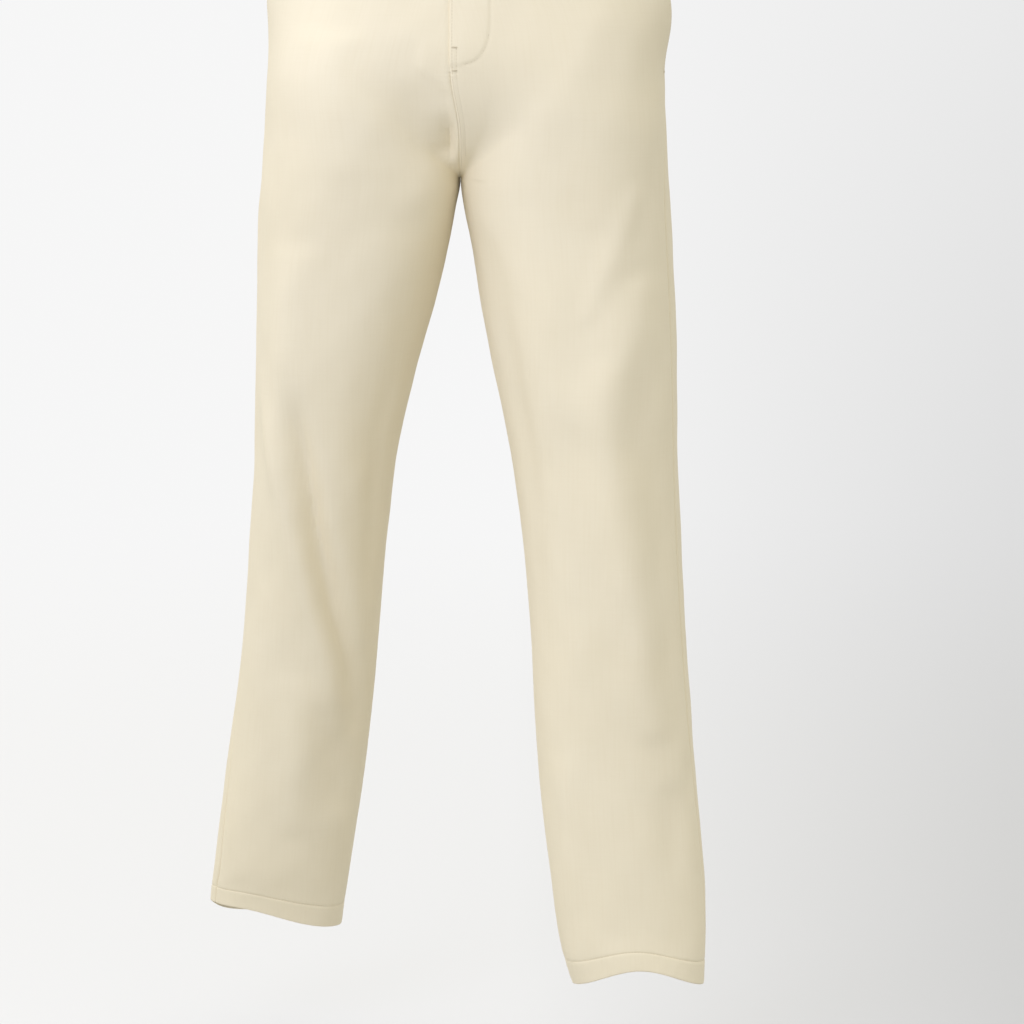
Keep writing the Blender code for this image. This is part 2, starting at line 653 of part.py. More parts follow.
def belt_loop(name, side, place, look):
    """A flat strip sewn at its ends, standing off the band between them; place is on the side's ring."""
    seat, stand = BAND_PROUD + LAYER_GAP + LOOP_CLOTH, BAND_PROUD + LOOP_STAND_OFF + LOOP_CLOTH
    foot, top = -BAND_DEPTH - LOOP_BELOW_BAND, -LAYER_GAP
    low_tack, high_tack, near = foot + LOOP_TACK, top - LOOP_TACK / 4, stand - LOOP_BEND * 0.4
    profile = ((foot, seat), (low_tack, seat), (low_tack + LOOP_BEND, near),
               (low_tack + 2 * LOOP_BEND, stand), (-BAND_DEPTH / 2, stand), (high_tack - LOOP_BEND, stand),
               (high_tack - LOOP_BEND / 2, near), (high_tack, seat), (top, seat))
    columns = np.array((-LOOP_WIDTH / 2, 0.0, LOOP_WIDTH / 2))
    middle = skin(side, -BAND_DEPTH / 2, np.array((place,)))
    normal = outward(side, -BAND_DEPTH / 2, np.array((place,)), middle)[0]
    sideways = np.array((-normal[1], normal[0], 0.0)) / math.hypot(normal[0], normal[1])
    flat = np.array((normal[0], normal[1], 0.0)) / math.hypot(normal[0], normal[1])
    face = FRONT if place >= 0 else BACK
    share = place / ring_end(side, -BAND_DEPTH / 2, face)
    outer, inner = [], []
    for height, out in profile:
        at = share * ring_end(side, height, face)
        centre = skin(side, height, np.array((at,)))[0]
        line = centre + sideways * columns[:, None]
        outer.append(line + flat * out)
        inner.append(line + flat * (out - LOOP_CLOTH))
    return wall(name, look, np.array(outer), np.array(inner))


def belt_loops(look):
    height = -BAND_DEPTH / 2
    for side in (LEFT, RIGHT):
        label = SIDE_NAMES[side]
        place = ring_end(side, height, FRONT) - FRONT_LOOP_FROM_CENTRE
        belt_loop("belt_loop_front_" + label, side, place, look)
        belt_loop("belt_loop_side_" + label, side, 0.0, look)
    belt_loop("belt_loop_back", LEFT, -ring_end(LEFT, height, BACK), look)


def back_welt(side, look):
    """The welt strip of a back pocket, on the back panel."""
    heights = np.linspace(WELT_TOP - WELT_DEPTH, WELT_TOP, 3)

    def places_at(height):
        start = ring_end(side, height, BACK) - WELT_FROM_CENTRE
        return np.linspace(-start, WELT_LENGTH - start, WELT_COLUMNS + 1)

    grids = cloth_rows(side, heights, places_at, WELT_STAND_OFF + WELT_CLOTH, WELT_CLOTH)
    return wall("back_welt_" + SIDE_NAMES[side], look, *grids)


def build():
    clear_scene()
    twill = material("cream twill", (0.80, 0.73, 0.56), 0.85)
    trim = material("zip tape cloth", (0.72, 0.64, 0.47), 0.9)
    metal = material("brass slider", (0.62, 0.47, 0.24), 0.35, 1.0)
    horn = material("horn button", (0.45, 0.33, 0.20), 0.35)
    for side in (LEFT, RIGHT):
        for face in (FRONT, BACK):
            panel(side, face, twill)
            hem_turn(side, face, twill)
        pocket_facing(side, twill)
        waistband(side, twill)
        back_welt(side, twill)
    fly_shield(twill)
    zip_tape(trim)
    zip_slider(metal)
    waist_button(horn)
    belt_loops(twill)


build()
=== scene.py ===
"""Cream cotton twill chinos as worn in mid-step: cut pieces, folds, sewing, closures, cloth and studio.

Cloth tables and sizes are in millimetres, materials and objects in metres. The origin is the middle of the
waist opening, +Z up, -Y the front, +X the wearer's left. A place is a distance round the cloth from the
outermost line of hip and leg, positive round the front and negative round the back.
"""

import math
from collections import namedtuple
from functools import lru_cache

import bmesh
import bpy
import numpy as np
from mathutils import Matrix, Vector


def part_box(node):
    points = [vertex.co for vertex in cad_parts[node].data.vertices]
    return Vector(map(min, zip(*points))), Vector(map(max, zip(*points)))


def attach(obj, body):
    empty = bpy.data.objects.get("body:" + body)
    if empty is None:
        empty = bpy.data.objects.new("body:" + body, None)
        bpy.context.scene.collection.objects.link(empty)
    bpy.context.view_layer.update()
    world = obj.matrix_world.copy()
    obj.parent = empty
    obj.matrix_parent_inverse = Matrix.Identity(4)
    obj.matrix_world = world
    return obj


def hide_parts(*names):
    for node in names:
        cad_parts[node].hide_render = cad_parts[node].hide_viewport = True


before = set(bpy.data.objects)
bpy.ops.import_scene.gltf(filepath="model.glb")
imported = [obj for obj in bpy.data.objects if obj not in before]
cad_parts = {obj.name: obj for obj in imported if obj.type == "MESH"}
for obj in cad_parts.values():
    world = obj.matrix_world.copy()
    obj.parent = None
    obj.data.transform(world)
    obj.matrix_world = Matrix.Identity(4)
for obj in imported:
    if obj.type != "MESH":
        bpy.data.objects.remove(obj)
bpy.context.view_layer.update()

MM = 0.001
LEFT, RIGHT = 1, -1
FRONT, BACK = 1, -1
SIDE_NAMES = {LEFT: "left", RIGHT: "right"}

# Cloth and seams
CLOTH = 0.8
WALL = 1.3
BAND_CLOTH = 2.4
BAND_PROUD = 0.5
SEAM_GAP = 0.12
LAYER_GAP = 0.3
CURVED_LAYER_GAP = 0.8
FOLD_RADIUS = CLOTH + 0.25

# Heights of the cut
BAND_DEPTH = 40.0
CROTCH = -272.0
HEM = {LEFT: -1081.0, RIGHT: -1072.0}
HEM_DEPTH = 25.0
FRONT_CURVE = 135.0
BACK_CURVE = 160.0
TWIST_TOP, TWIST_END = -168.0, -232.0
PELVIS_TWIST = 0.07

# Shape of the sections
LEG_SQUARENESS = 2.2
BODY_SQUARENESS = 2.3
THIGH_BLEND = 20.0

# Slant pocket
MOUTH_END = -171.0
MOUTH_SLANT = 36.0
MOUTH_GAPE = {LEFT: 13.5, RIGHT: 8.5}
GAPE_REACH = 38.0
GAPE_RISE = 1.6
FACING_UNDERLAP = 34.0
FACING_END = -200.0
FACING_TURN = 12.0
FACING_SET_BACK = 3.0
FACING_STEP_IN = 12.0
MOUTH_ROWS = (1.6, 6.6)

# Hem lifted over the instep
HEM_LIFT = {LEFT: 27.0, RIGHT: 28.0}
HEM_LIFT_ACROSS = {LEFT: 0.5, RIGHT: 0.3}
HEM_LIFT_REACH = {LEFT: 58.0, RIGHT: 74.0}
HEM_LIFT_FADE = 80.0
# and over the heel side's outer corner
HEM_CORNER, HEM_CORNER_REACH = {LEFT: 0.0, RIGHT: 10.0}, 34.0

# Fly and waist closing
UNDERLAP = 38.0
TUCK_START, TUCK_RUN = 22.0, 20.0
FLY_END = -155.0
FLY_WIDTH, FLY_STRAIGHT, FLY_DROP, FLY_SQUARENESS = 37.6, -115.0, 46.0, 2.8
LAP_END = -168.0
LAP_FADE = 6.0
TUCKED_PUCKER = -169.0
# The row along the lap's edge and the second one down to the crotch: distance from the edge, and their ends
FLY_TOP, EDGE_ROW, EDGE_ROW_END = -43.0, 1.8, -262.0
SECOND_ROW, SECOND_TOP, SECOND_FADE, SECOND_END = 6.0, -144.0, -244.0, -250.0
FLY_TACKS = (SECOND_TOP, -166.0)
SHIELD_RIGHT, SHIELD_LEFT = -16.0, 26.0
SHIELD_SEWN, SHIELD_RISE = 2.0, 9.0
ZIP_HALF_WIDTH = 11.0
ZIP_TAPE = 1.0
SLIDER_PLATE = 1.3
ZIP_INSET = WALL + CURVED_LAYER_GAP + SLIDER_PLATE + LAYER_GAP
SHIELD_INSET = ZIP_INSET + ZIP_TAPE + SLIDER_PLATE + 3 * LAYER_GAP
BUTTON_RADIUS, BUTTON_THICKNESS, BUTTON_WEB = 8.5, 3.0, 1.9
BUTTON_RIM, BUTTON_ROUNDING = 2.2, 0.8
BUTTON_FROM_CENTRE = 15.0
BUTTON_STAND_OFF = 0.5
BUTTON_HOLE_RADIUS, BUTTON_HOLE_SPREAD = 0.9, 1.7
# One thread over the button, from hole to hole: how far across, how far out
BUTTON_THREAD = (
    (-1.75, -0.9), (-1.55, -2.1), (-0.8, -2.35), (0.0, -2.45), (0.8, -2.35), (1.55, -2.1), (1.75, -0.9),
)

# Belt loops
LOOP_STAND_OFF = 6.5
LOOP_CLOTH = 1.4
LOOP_TACK = 3.4
LOOP_BELOW_BAND = 6.5
LOOP_BEND = 4.0
FRONT_LOOP_FROM_CENTRE = 64.0
# Columns from the strip's middle to its edge, and how far out its rows of stitches lie
LOOP_COLUMNS = (0.0, 1.0, 2.0, 2.9, 3.4, 4.0, 4.8, 5.25, 5.5)
LOOP_ROW = 3.4

# Back welt pockets
WELT_LENGTH, WELT_DEPTH, WELT_CLOTH = 135.0, 12.0, 1.4
WELT_STAND_OFF = 0.4
WELT_TOP = -112.0
WELT_FROM_CENTRE = 62.0
WELT_ROWS = (0.0, 0.3, 0.8, 1.6, 2.6, 3.8, 4.9, 5.5, 5.8, 6.0, 6.2, 6.5, 7.1, 8.2, 9.4, 10.4, 11.2, 11.7, 12.0)

# Mesh fineness
RING_STEPS = 150
NORMAL_STEP = 1.5
EDGE_COLUMNS = (0.0, 0.4, 0.9, 1.6, 2.6, 4.0, 6.0, 9.0)
FLY_COLUMNS = (0.0, 0.35, 0.8, 1.5, 2.5, *np.arange(4.0, 46.5, 1.6))
OPEN_COLUMNS = 56
INNER_CROWDING = 12
# Columns past the fork of the legs follow its curve gently, over this reach, except beside the seam
FORK_REACH, FORK_HOLD = 18.0, 40
FIRST_FORK_ROW = 0.3
FORK_STEPS = (-15.0, -10.0, -5.0, 0.0, 5.0, 10.0, 15.0)
LEG_STEP = 4.0
HIP_STEP = 1.7
HEM_STEP = 1.6
CURVE_ROWS = 130
FOLD_ROWS = 7
RING_RUN_ON = 60.0
SHARP_ANGLE = math.radians(42)

Ring = namedtuple("Ring", "height outer inner front back middle seam")
# outer and inner: the leg's outline seen from the front. front and back: its outline seen from the side.
# middle: depth of the outermost line. seam: how far the side seam lies forward of that line.
RING_ROWS = {
    LEFT: (
        (0, 168, 0, -70, 72, 0, 0),
        (-40, 175, 0, -78, 84, 0, 0),
        (-80, 191, 0, -90, 102, 0, 0),
        (-120, 200, 0, -102, 124, 0, 1),
        (-160, 201, 0, -109, 138, 0, 5),
        (-200, 202.5, 0, -110, 139, 0, 16),
        (-235, 204, 3.2, -106, 130, 0, 27),
        (-272, 205.5, 0, -101, 119, 0, 35),
        (-300, 207.3, 3.2, -97.5, 113, 1, 38),
        (-340, 210, 11, -95, 107, 3, 40),
        (-400, 213, 20.5, -93, 99, 3, 39),
        (-480, 215.5, 37, -89, 89, 0, 36),
        (-560, 217, 52, -86, 80, -3, 33),
        (-640, 220, 62.5, -84, 70, -7, 30),
        (-720, 224.5, 69.5, -83, 60, -11, 28),
        (-800, 230.5, 73, -81, 50, -15, 25),
        (-880, 237, 79, -79.5, 41, -19, 18),
        (-960, 243.5, 88.5, -80, 34, -23, 12),
        (-1020, 246.5, 96, -81.5, 30, -26, 10),
        (-1050, 246, 102, -83.5, 29, -28, 9),
        (-1085, 245, 113, -87, 29, -29, 8),
    ),
    RIGHT: (
        (0, -168, 0, -70, 72, 0, 0),
        (-40, -173, 0, -78, 84, 0, 0),
        (-80, -178.5, 0, -90, 102, 0, 0),
        (-120, -181.5, 0, -102, 124, 0, 0),
        (-160, -187, 0, -109, 138, 0, 0),
        (-200, -191, 0, -110, 140, 0, 0),
        (-235, -193.3, -4.5, -106, 133, 0, 0),
        (-272, -195.9, 0, -100, 126, 0, 0),
        (-300, -199, -4.5, -92.5, 125, 7, 0),
        (-340, -201.5, -12, -81, 130, 20, 0),
        (-400, -205, -27, -64.5, 140, 36, 0),
        (-480, -208, -49.5, -43, 153, 54, 0),
        (-560, -211, -67, -20, 165, 72, 0),
        (-640, -217.5, -77, 5, 175, 90, 0),
        (-720, -225, -84.5, 28, 187, 108, 1),
        (-800, -234.5, -92, 51, 199, 125, 9),
        (-880, -246.5, -101.5, 75, 210, 143, 24),
        (-960, -259, -113.5, 98, 222, 160, 28),
        (-1020, -266.5, -123, 115, 231.5, 173, 28),
        (-1050, -269.5, -128, 122, 237, 180, 28),
        (-1085, -272, -132.5, 130, 244, 187, 28),
    ),
}
RINGS = {side: [Ring(*row) for row in rows] for side, rows in RING_ROWS.items()}

Hip = namedtuple("Hip", "height front back")
# Depth of the centre front and centre back seams above their curves
HIPS = (
    Hip(0, -102, 104),
    Hip(-40, -105, 112),
    Hip(-80, -109, 126),
    Hip(-120, -113, 140),
    Hip(-160, -115, 149),
    Hip(-200, -115, 151),
    Hip(-272, -113, 142),
)

Fold = namedtuple(
    "Fold", "side face height across to_height to_across bow width depth lean fade", defaults=(0.0, 26.0)
)
# A soft ridge (depth above 0) or trough along a line in the unrolled cloth. across runs from 0 at the
# outermost line to 1 at the inseam or centre seam; bow bends the line's middle, towards the front if above 0;
# lean steepens one flank; fade is how far from the seams the fold dies out. These are on the backs, where
# SWEEPS has none: large folds, then the creases over them under the seat, behind the knees and at the calves.
FOLDS = (
    Fold(LEFT, BACK, -300, 0.86, -345, 0.34, 0, 15, -4.0),
    Fold(LEFT, BACK, -560, 0.80, -610, 0.22, 8, 14, -4.0),
    Fold(LEFT, BACK, -600, 0.72, -672, 0.30, -6, 15, -3.5),
    Fold(LEFT, BACK, -860, 0.35, -1010, 0.55, 0, 18, -4.0),
    Fold(RIGHT, BACK, -305, 0.84, -352, 0.30, 0, 16, -4.0),
    Fold(RIGHT, BACK, -575, 0.76, -618, 0.26, 6, 14, -4.0),
    Fold(RIGHT, BACK, -628, 0.82, -690, 0.34, -8, 15, -3.0),
    Fold(RIGHT, BACK, -880, 0.60, -1010, 0.36, 0, 18, -4.0),
    Fold(LEFT, BACK, -282, 0.97, -300, 0.55, 0, 8, -2.2, 0.2, 6.0),
    Fold(LEFT, BACK, -318, 0.96, -375, 0.52, 4, 9, -1.8, 0.2, 6.0),
    Fold(LEFT, BACK, -585, 0.88, -640, 0.42, 4, 8, 1.6, 0.0, 8.0),
    Fold(LEFT, BACK, -640, 0.92, -705, 0.55, 0, 8, -1.6, 0.3, 8.0),
    Fold(LEFT, BACK, -742, 0.20, -810, 0.45, 0, 10, -1.4, 0.2, 8.0),
    Fold(LEFT, BACK, -930, 0.80, -1000, 0.50, 0, 9, -1.5, 0.2, 8.0),
    Fold(RIGHT, BACK, -284, 0.97, -306, 0.52, 0, 8, -2.2, 0.2, 6.0),
    Fold(RIGHT, BACK, -322, 0.96, -384, 0.56, 4, 9, -1.8, 0.2, 6.0),
    Fold(RIGHT, BACK, -598, 0.90, -652, 0.46, 4, 8, 1.6, 0.0, 8.0),
    Fold(RIGHT, BACK, -655, 0.94, -725, 0.60, 0, 8, -1.6, 0.3, 8.0),
    Fold(RIGHT, BACK, -760, 0.22, -830, 0.44, 0, 10, -1.4, 0.2, 8.0),
    Fold(RIGHT, BACK, -945, 0.30, -1010, 0.62, 0, 9, -1.5, 0.2, 8.0),
    # across the seat
    Fold(LEFT, BACK, -190, 0.96, -262, 0.62, 6, 14, -1.4, 0.0, 12.0),
    Fold(RIGHT, BACK, -194, 0.96, -268, 0.60, 6, 14, -1.4, 0.0, 12.0),
)
FOLD_REACH = 60.0
FOLD_TAPER = 0.8

Sweep = namedtuple("Sweep", "height place width depth")
# A long fold or the edge between two planes of the cloth: its place, width and depth at each height
SWEEP_ROWS = {
    LEFT: (
        (
            (-349, 81, 15, 0), (-397, 99, 27, 5.6), (-449, 118, 26, 10.7), (-493, 128, 28, 12.2),
            (-537, 124, 23, 11.7), (-585, 117, 29, 12), (-641, 107, 26, 12.7), (-693, 96, 24, 11.8),
            (-741, 88, 22, 9.6), (-793, 82, 24, 5.4), (-841, 73, 18, 0),
        ),
        (
            (-389, 72, 16, 0), (-437, 78, 16, 1.3), (-485, 78, 20, -0.7), (-533, 72, 24, -3),
            (-593, 66, 26, -3.5), (-653, 61, 20, -1.8), (-713, 56, 18, -1.3), (-785, 52, 15, -1.1),
            (-845, 51, 14, 0),
        ),
        (
            (-261, 85, 12, 0), (-297, 99, 15, 2.6), (-329, 113, 17, 3.9), (-361, 128, 15, 3.9),
            (-397, 144, 13, 2.3), (-429, 155, 12, 0),
        ),
        (
            (-321, 89, 14, 0), (-349, 103, 15, 1.1), (-377, 118, 13, 1.3), (-417, 132, 17, 1.6),
            (-453, 144, 14, 0),
        ),
        (
            (-305, 255, 14, 0), (-361, 243, 18, -2.6), (-429, 231, 17, -3.5), (-497, 217, 15, -3.6),
            (-577, 203, 16, -3.2), (-657, 196, 13, -1.6), (-745, 190, 14, -0.2), (-825, 184, 14, 0),
        ),
        (
            (-109, 118, 24, 0), (-145, 123, 24, -0.9), (-193, 125, 25, -0.9), (-241, 125, 25, 0.9),
            (-289, 128, 28, 2.3), (-337, 138, 25, 0),
        ),
        (
            (-241, 206, 33, 0), (-309, 202, 42, 1.6), (-385, 192, 37, 4.6), (-465, 181, 41, 5.3),
            (-541, 171, 30, 2.1), (-621, 161, 29, 2.1), (-701, 153, 31, 0),
        ),
        (
            (-825, 172, 16, 0), (-873, 168, 16, 2.9), (-925, 166, 16, 3), (-977, 165, 16, 2),
            (-1017, 166, 16, 0),
        ),
        (
            (-853, 61, 14, 0), (-893, 61, 18, -3.3), (-933, 59, 15, -3.1), (-977, 56, 14, -1.2),
            (-1017, 54, 14, 0),
        ),
        (
            (-829, 25, 12, 0), (-869, 30, 12, -1.1), (-901, 35, 12, 0),
        ),
    ),
    RIGHT: (
        # the hollow beside the centre seam
        (
            (-198, 250, 13, 0), (-222, 255, 11, -9), (-240, 258, 11, -10), (-266, 262, 12, 0),
        ),
        (
            (-165, 230, 40, 0), (-203, 240, 36, -2), (-232, 248, 30, -3), (-272, 258, 28, 0),
        ),
        # the long fold over the knee and the ridge outside it
        (
            (-440, 94, 16, 0), (-480, 101, 14, -3), (-530, 110, 13, -12), (-592, 121, 13, -15),
            (-628, 127, 13, -15), (-704, 147, 15, -12), (-760, 165, 15, -9), (-812, 180, 17, -5),
            (-868, 190, 16, 0),
        ),
        (
            (-440, 50, 18, 0), (-485, 62, 17, 2), (-530, 77, 15, 6), (-592, 96, 15, 10),
            (-632, 103, 16, 11), (-704, 120, 16, 10), (-760, 136, 16, 8), (-812, 150, 15, 5),
            (-868, 166, 15, 0),
        ),
        (
            (-764, 103, 17, 0), (-816, 113, 20, 4.8), (-872, 117, 20, 7.9), (-928, 117, 20, 4.7),
            (-976, 128, 18, 0),
        ),
        (
            (-796, 146, 21, 0), (-840, 160, 27, -4), (-896, 166, 26, -5.7), (-956, 170, 22, 0),
        ),
        (
            (-304, 203, 25, 0), (-348, 203, 33, 2.4), (-400, 196, 19, 0.6), (-460, 188, 26, -3),
            (-520, 181, 22, -4.5), (-584, 175, 20, 0),
        ),
        (
            (-300, 241, 16, 0), (-360, 233, 20, 1.5), (-420, 222, 16, -1.3), (-492, 209, 17, -3.6),
            (-564, 197, 17, -3.9), (-648, 191, 12, -2.4), (-712, 186, 12, 0),
        ),
        (
            (-320, 100, 30, 0), (-388, 97, 24, 7), (-460, 95, 26, 8), (-520, 88, 23, 5), (-596, 80, 19, 3),
            (-680, 72, 20, 0),
        ),
        (
            (-112, 123, 43, 0), (-148, 134, 29, 5), (-192, 144, 30, 5.8), (-240, 148, 40, 3.6),
            (-288, 153, 41, 0),
        ),
        (
            (-120, 196, 30, 0), (-156, 210, 35, -2.1), (-204, 218, 35, -4.1), (-252, 216, 37, -4.4),
            (-304, 208, 28, 0),
        ),
        (
            (-748, 34, 16, 0), (-812, 41, 19, -0.4), (-880, 47, 20, -1.2), (-944, 50, 17, 0),
        ),
    ),
}
SWEEPS = {side: [[Sweep(*row) for row in rows] for rows in groups] for side, groups in SWEEP_ROWS.items()}
SWEEP_FADE, SWEEP_END = 9.0, 30.0
# No fold lies this near the centre seam where the fly is
FLY_CLEAR = 24.0

Wave = namedtuple("Wave", "depth length_up length_round shift")
# Slow unevenness of worn cloth
WAVES = (
    Wave(0.45, 310.0, 120.0, 0.4),
    Wave(0.30, 170.0, -95.0, 1.9),
    Wave(0.18, 96.0, 61.0, 3.1),
    Wave(0.10, 58.0, -47.0, 5.2),
)


# ---------------------------------------------------------------- form of the cloth

def smooth_step(value):
    value = np.clip(value, 0.0, 1.0)
    return value * value * (3 - 2 * value)


def bell(value):
    return np.exp(-(value**2))


def along_table(rows, height):
    """A row at this height, on a smooth curve through the table's rows."""
    heights = [row.height for row in rows]
    last = len(rows) - 1
    below = next((place for place in range(1, last) if heights[place] <= height), last)
    above = below - 1
    span = heights[below] - heights[above]
    step = (height - heights[above]) / span
    values = []
    for column in zip(*rows):
        slopes = []
        for place in (above, below):
            before, after = max(place - 1, 0), min(place + 1, last)
            slopes.append((column[after] - column[before]) / (heights[after] - heights[before]) * span)
        start, end = column[above], column[below]
        rise = end - start
        values.append(
            start
            + slopes[0] * step * (1 - step) ** 2
            + rise * step * step * (3 - 2 * step)
            - slopes[1] * step * step * (1 - step)
        )
    return type(rows[0])(*values)


def soft_max(first, second, blend):
    """The larger of two depths, rounded where they meet within this blend."""
    near = np.clip(blend - np.abs(first - second), 0.0, None)
    return np.maximum(first, second) + near * near / np.maximum(4 * blend, 1e-6)


def curve_share(height, curve):
    """How much of its full depth the centre seam has at this height: 0 at the crotch, 1 above the curve."""
    left = 1 - np.clip((height - CROTCH) / curve, 0.0, 1.0)
    return math.sqrt(1 - left * left)


def twist(height):
    """The hips turn a little, so depth shifts sideways; the turn ends at the crotch."""
    return PELVIS_TWIST * float(smooth_step((height - TWIST_END) / (TWIST_TOP - TWIST_END)))


def half_ring(side, height, face):
    """Points of the front or back half of a ring, from the outermost line to the inner edge."""
    ring = along_table(RINGS[side], height)
    outer, inner = side * ring.outer, max(side * ring.inner, SEAM_GAP / 2)
    if height >= CROTCH:
        inner = SEAM_GAP / 2
    angle = np.linspace(0.0, math.pi, RING_STEPS + 1)
    across = np.sign(np.cos(angle)) * np.abs(np.cos(angle)) ** (2 / LEG_SQUARENESS)
    x = (outer + inner) / 2 + (outer - inner) / 2 * across
    leg_edge = ring.front if face == FRONT else ring.back
    depth = abs(leg_edge - ring.middle) * np.abs(np.sin(angle)) ** (2 / LEG_SQUARENESS)
    if height > CROTCH:
        hip = along_table(HIPS, height)
        share = curve_share(height, FRONT_CURVE if face == FRONT else BACK_CURVE)
        seam_depth = share * abs((hip.front if face == FRONT else hip.back) - ring.middle)
        round_body = np.clip(1 - (x / outer) ** BODY_SQUARENESS, 0.0, 1.0) ** (1 / BODY_SQUARENESS)
        blend = THIGH_BLEND * share * (1 - (x / outer) ** 2) ** 2
        depth = soft_max(depth, seam_depth * round_body, blend)
    y = ring.middle - face * depth
    return side * x + (y - ring.middle) * twist(height), y


@lru_cache(maxsize=None)
def own_ring(side, height):
    """One side's ring as arrays of place, x and y, back seam to front seam."""
    front_x, front_y = half_ring(side, height, FRONT)
    back_x, back_y = half_ring(side, height, BACK)
    x = np.concatenate((back_x[:0:-1], front_x))
    y = np.concatenate((back_y[:0:-1], front_y))
    steps = np.hypot(np.diff(x), np.diff(y))
    place = np.concatenate(((0.0,), np.cumsum(steps)))
    return place - place[RING_STEPS], x, y


@lru_cache(maxsize=None)
def ring_line(side, height):
    """The ring, run on past the centre front above the crotch, with the outward direction at each point."""
    place, x, y = own_ring(side, height)
    if height > CROTCH:
        far_place, far_x, far_y = own_ring(-side, height)
        past = far_place[-1] - far_place[::-1]
        near = past < RING_RUN_ON
        place = np.concatenate((place, place[-1] + SEAM_GAP + past[near]))
        x, y = np.concatenate((x, far_x[::-1][near])), np.concatenate((y, far_y[::-1][near]))
    run_x, run_y = np.gradient(x, place), np.gradient(y, place)
    size = np.hypot(run_x, run_y)
    return place, x, y, -side * run_y / size, side * run_x / size


@lru_cache(maxsize=None)
def ring_end(side, height, face):
    """Distance round the cloth from the outermost line to the inseam or centre seam."""
    place = own_ring(side, height)[0]
    return abs(place[-1] if face == FRONT else place[0])


@lru_cache(maxsize=None)
def seam_place(side, height):
    return along_table(RINGS[side], height).seam


def mouth_place(side, height):
    """The front panel's outer edge: the side seam, then the slanted pocket mouth above it."""
    up = max(0.0, (height - MOUTH_END) / (-BAND_DEPTH - MOUTH_END))
    return seam_place(side, height) + MOUTH_SLANT * up


@lru_cache(maxsize=None)
def fold_line(fold):
    """Where a fold starts in the unrolled cloth, its direction and its length."""
    start = np.array((fold.face * fold.across * ring_end(fold.side, fold.height, fold.face), fold.height))
    far_end = ring_end(fold.side, fold.to_height, fold.face)
    run = np.array((fold.face * fold.to_across * far_end, fold.to_height)) - start
    length = math.hypot(*run)
    return start, run / length, length


def fold_height(side, height, place):
    """Sum of the folds at these places of one ring."""
    total = np.zeros_like(place)
    ends = np.where(place >= 0, ring_end(side, height, FRONT), ring_end(side, height, BACK))
    from_seam = ends - np.abs(place)
    for fold in FOLDS:
        low, high = sorted((fold.height, fold.to_height))
        if fold.side != side or not low - FOLD_REACH < height < high + FOLD_REACH:
            continue
        start, run, length = fold_line(fold)
        along = ((place - start[0]) * run[0] + (height - start[1]) * run[1]) / length
        aside = (place - start[0]) * -run[1] + (height - start[1]) * run[0]
        inside = np.clip(along, 0.0, 1.0)
        aside = (aside - math.copysign(fold.bow, -run[1]) * 4 * inside * (1 - inside)) / fold.width
        taper = np.sin(math.pi * inside) ** FOLD_TAPER
        profile = bell(aside) * (1 + 1.4 * fold.lean * aside)
        total += fold.depth * taper * profile * smooth_step(from_seam / fold.fade)
    from_side = place - seam_place(side, height)
    swept = sum((swept_height(rows, height, place) for rows in SWEEPS[side]), np.zeros_like(place))
    clear = FLY_CLEAR * smooth_step((height - LAP_END + 24.0) / 32.0)
    total += swept * smooth_step((from_seam - clear) / SWEEP_FADE) * smooth_step(from_side / SWEEP_FADE)
    return total


def swept_height(rows, height, place):
    """One sweep's depth at these places; it fades out towards its ends."""
    if not rows[-1].height < height < rows[0].height:
        return np.zeros_like(place)
    here = along_table(rows, height)
    from_ends = (rows[0].height - height, height - rows[-1].height)
    fade = smooth_step(from_ends[0] / SWEEP_END) * smooth_step(from_ends[1] / SWEEP_END)
    return float(fade) * here.depth * bell((place - here.place) / here.width)


def slow_waves(side, height, place):
    total = np.zeros_like(place)
    for number, wave in enumerate(WAVES):
        turn = height / wave.length_up + place / wave.length_round
        total += wave.depth * np.sin(math.tau * turn + wave.shift + (side + 1) * (number + 1))
    return total


def hem_lift(side, height, place):
    """How far the cloth near the hem is pushed up over the instep."""
    fade = 1 - smooth_step((height - HEM[side]) / HEM_LIFT_FADE)
    centre = HEM_LIFT_ACROSS[side] * ring_end(side, height, FRONT)
    corner = HEM_CORNER[side] * bell(place / HEM_CORNER_REACH)
    return fade * (HEM_LIFT[side] * bell((place - centre) / HEM_LIFT_REACH[side]) + corner)


def skin(side, height, place, gape=0.0):
    """Points on the cloth's outer face at one height, for an array of places round it."""
    ring_place, x, y, out_x, out_y = ring_line(side, height)
    place = np.asarray(place, dtype=float)
    rise = fold_height(side, height, place) + gape
    return np.stack(
        (
            np.interp(place, ring_place, x) + rise * np.interp(place, ring_place, out_x),
            np.interp(place, ring_place, y) + rise * np.interp(place, ring_place, out_y),
            height + hem_lift(side, height, place),
        ),
        axis=-1,
    )


def outward(side, height, place, points, gape=0.0):
    """Unit outward directions of the cloth at these points."""
    last = ring_line(side, height)[0][-1]
    forward = np.where(place + NORMAL_STEP > last, -NORMAL_STEP, NORMAL_STEP)
    round_cloth = (skin(side, height, place + forward, gape) - points) * np.sign(forward)[:, None]
    down = skin(side, height - NORMAL_STEP, place, gape) - points
    normal = np.cross(round_cloth, down) * side
    return normal / np.linalg.norm(normal, axis=1)[:, None]


def mouth_gape(side, height, place):
    """How far the front panel stands off along the pocket mouth."""
    up = np.clip((height - MOUTH_END) / (-BAND_DEPTH - MOUTH_END), 0.0, 1.0)
    reach = bell((place - mouth_place(side, height)) / GAPE_REACH)
    return MOUTH_GAPE[side] * math.sin(math.pi * up**GAPE_RISE) * reach


def panel_gape(side, face, height, place):
    return mouth_gape(side, height, place) if face == FRONT else np.zeros_like(place)


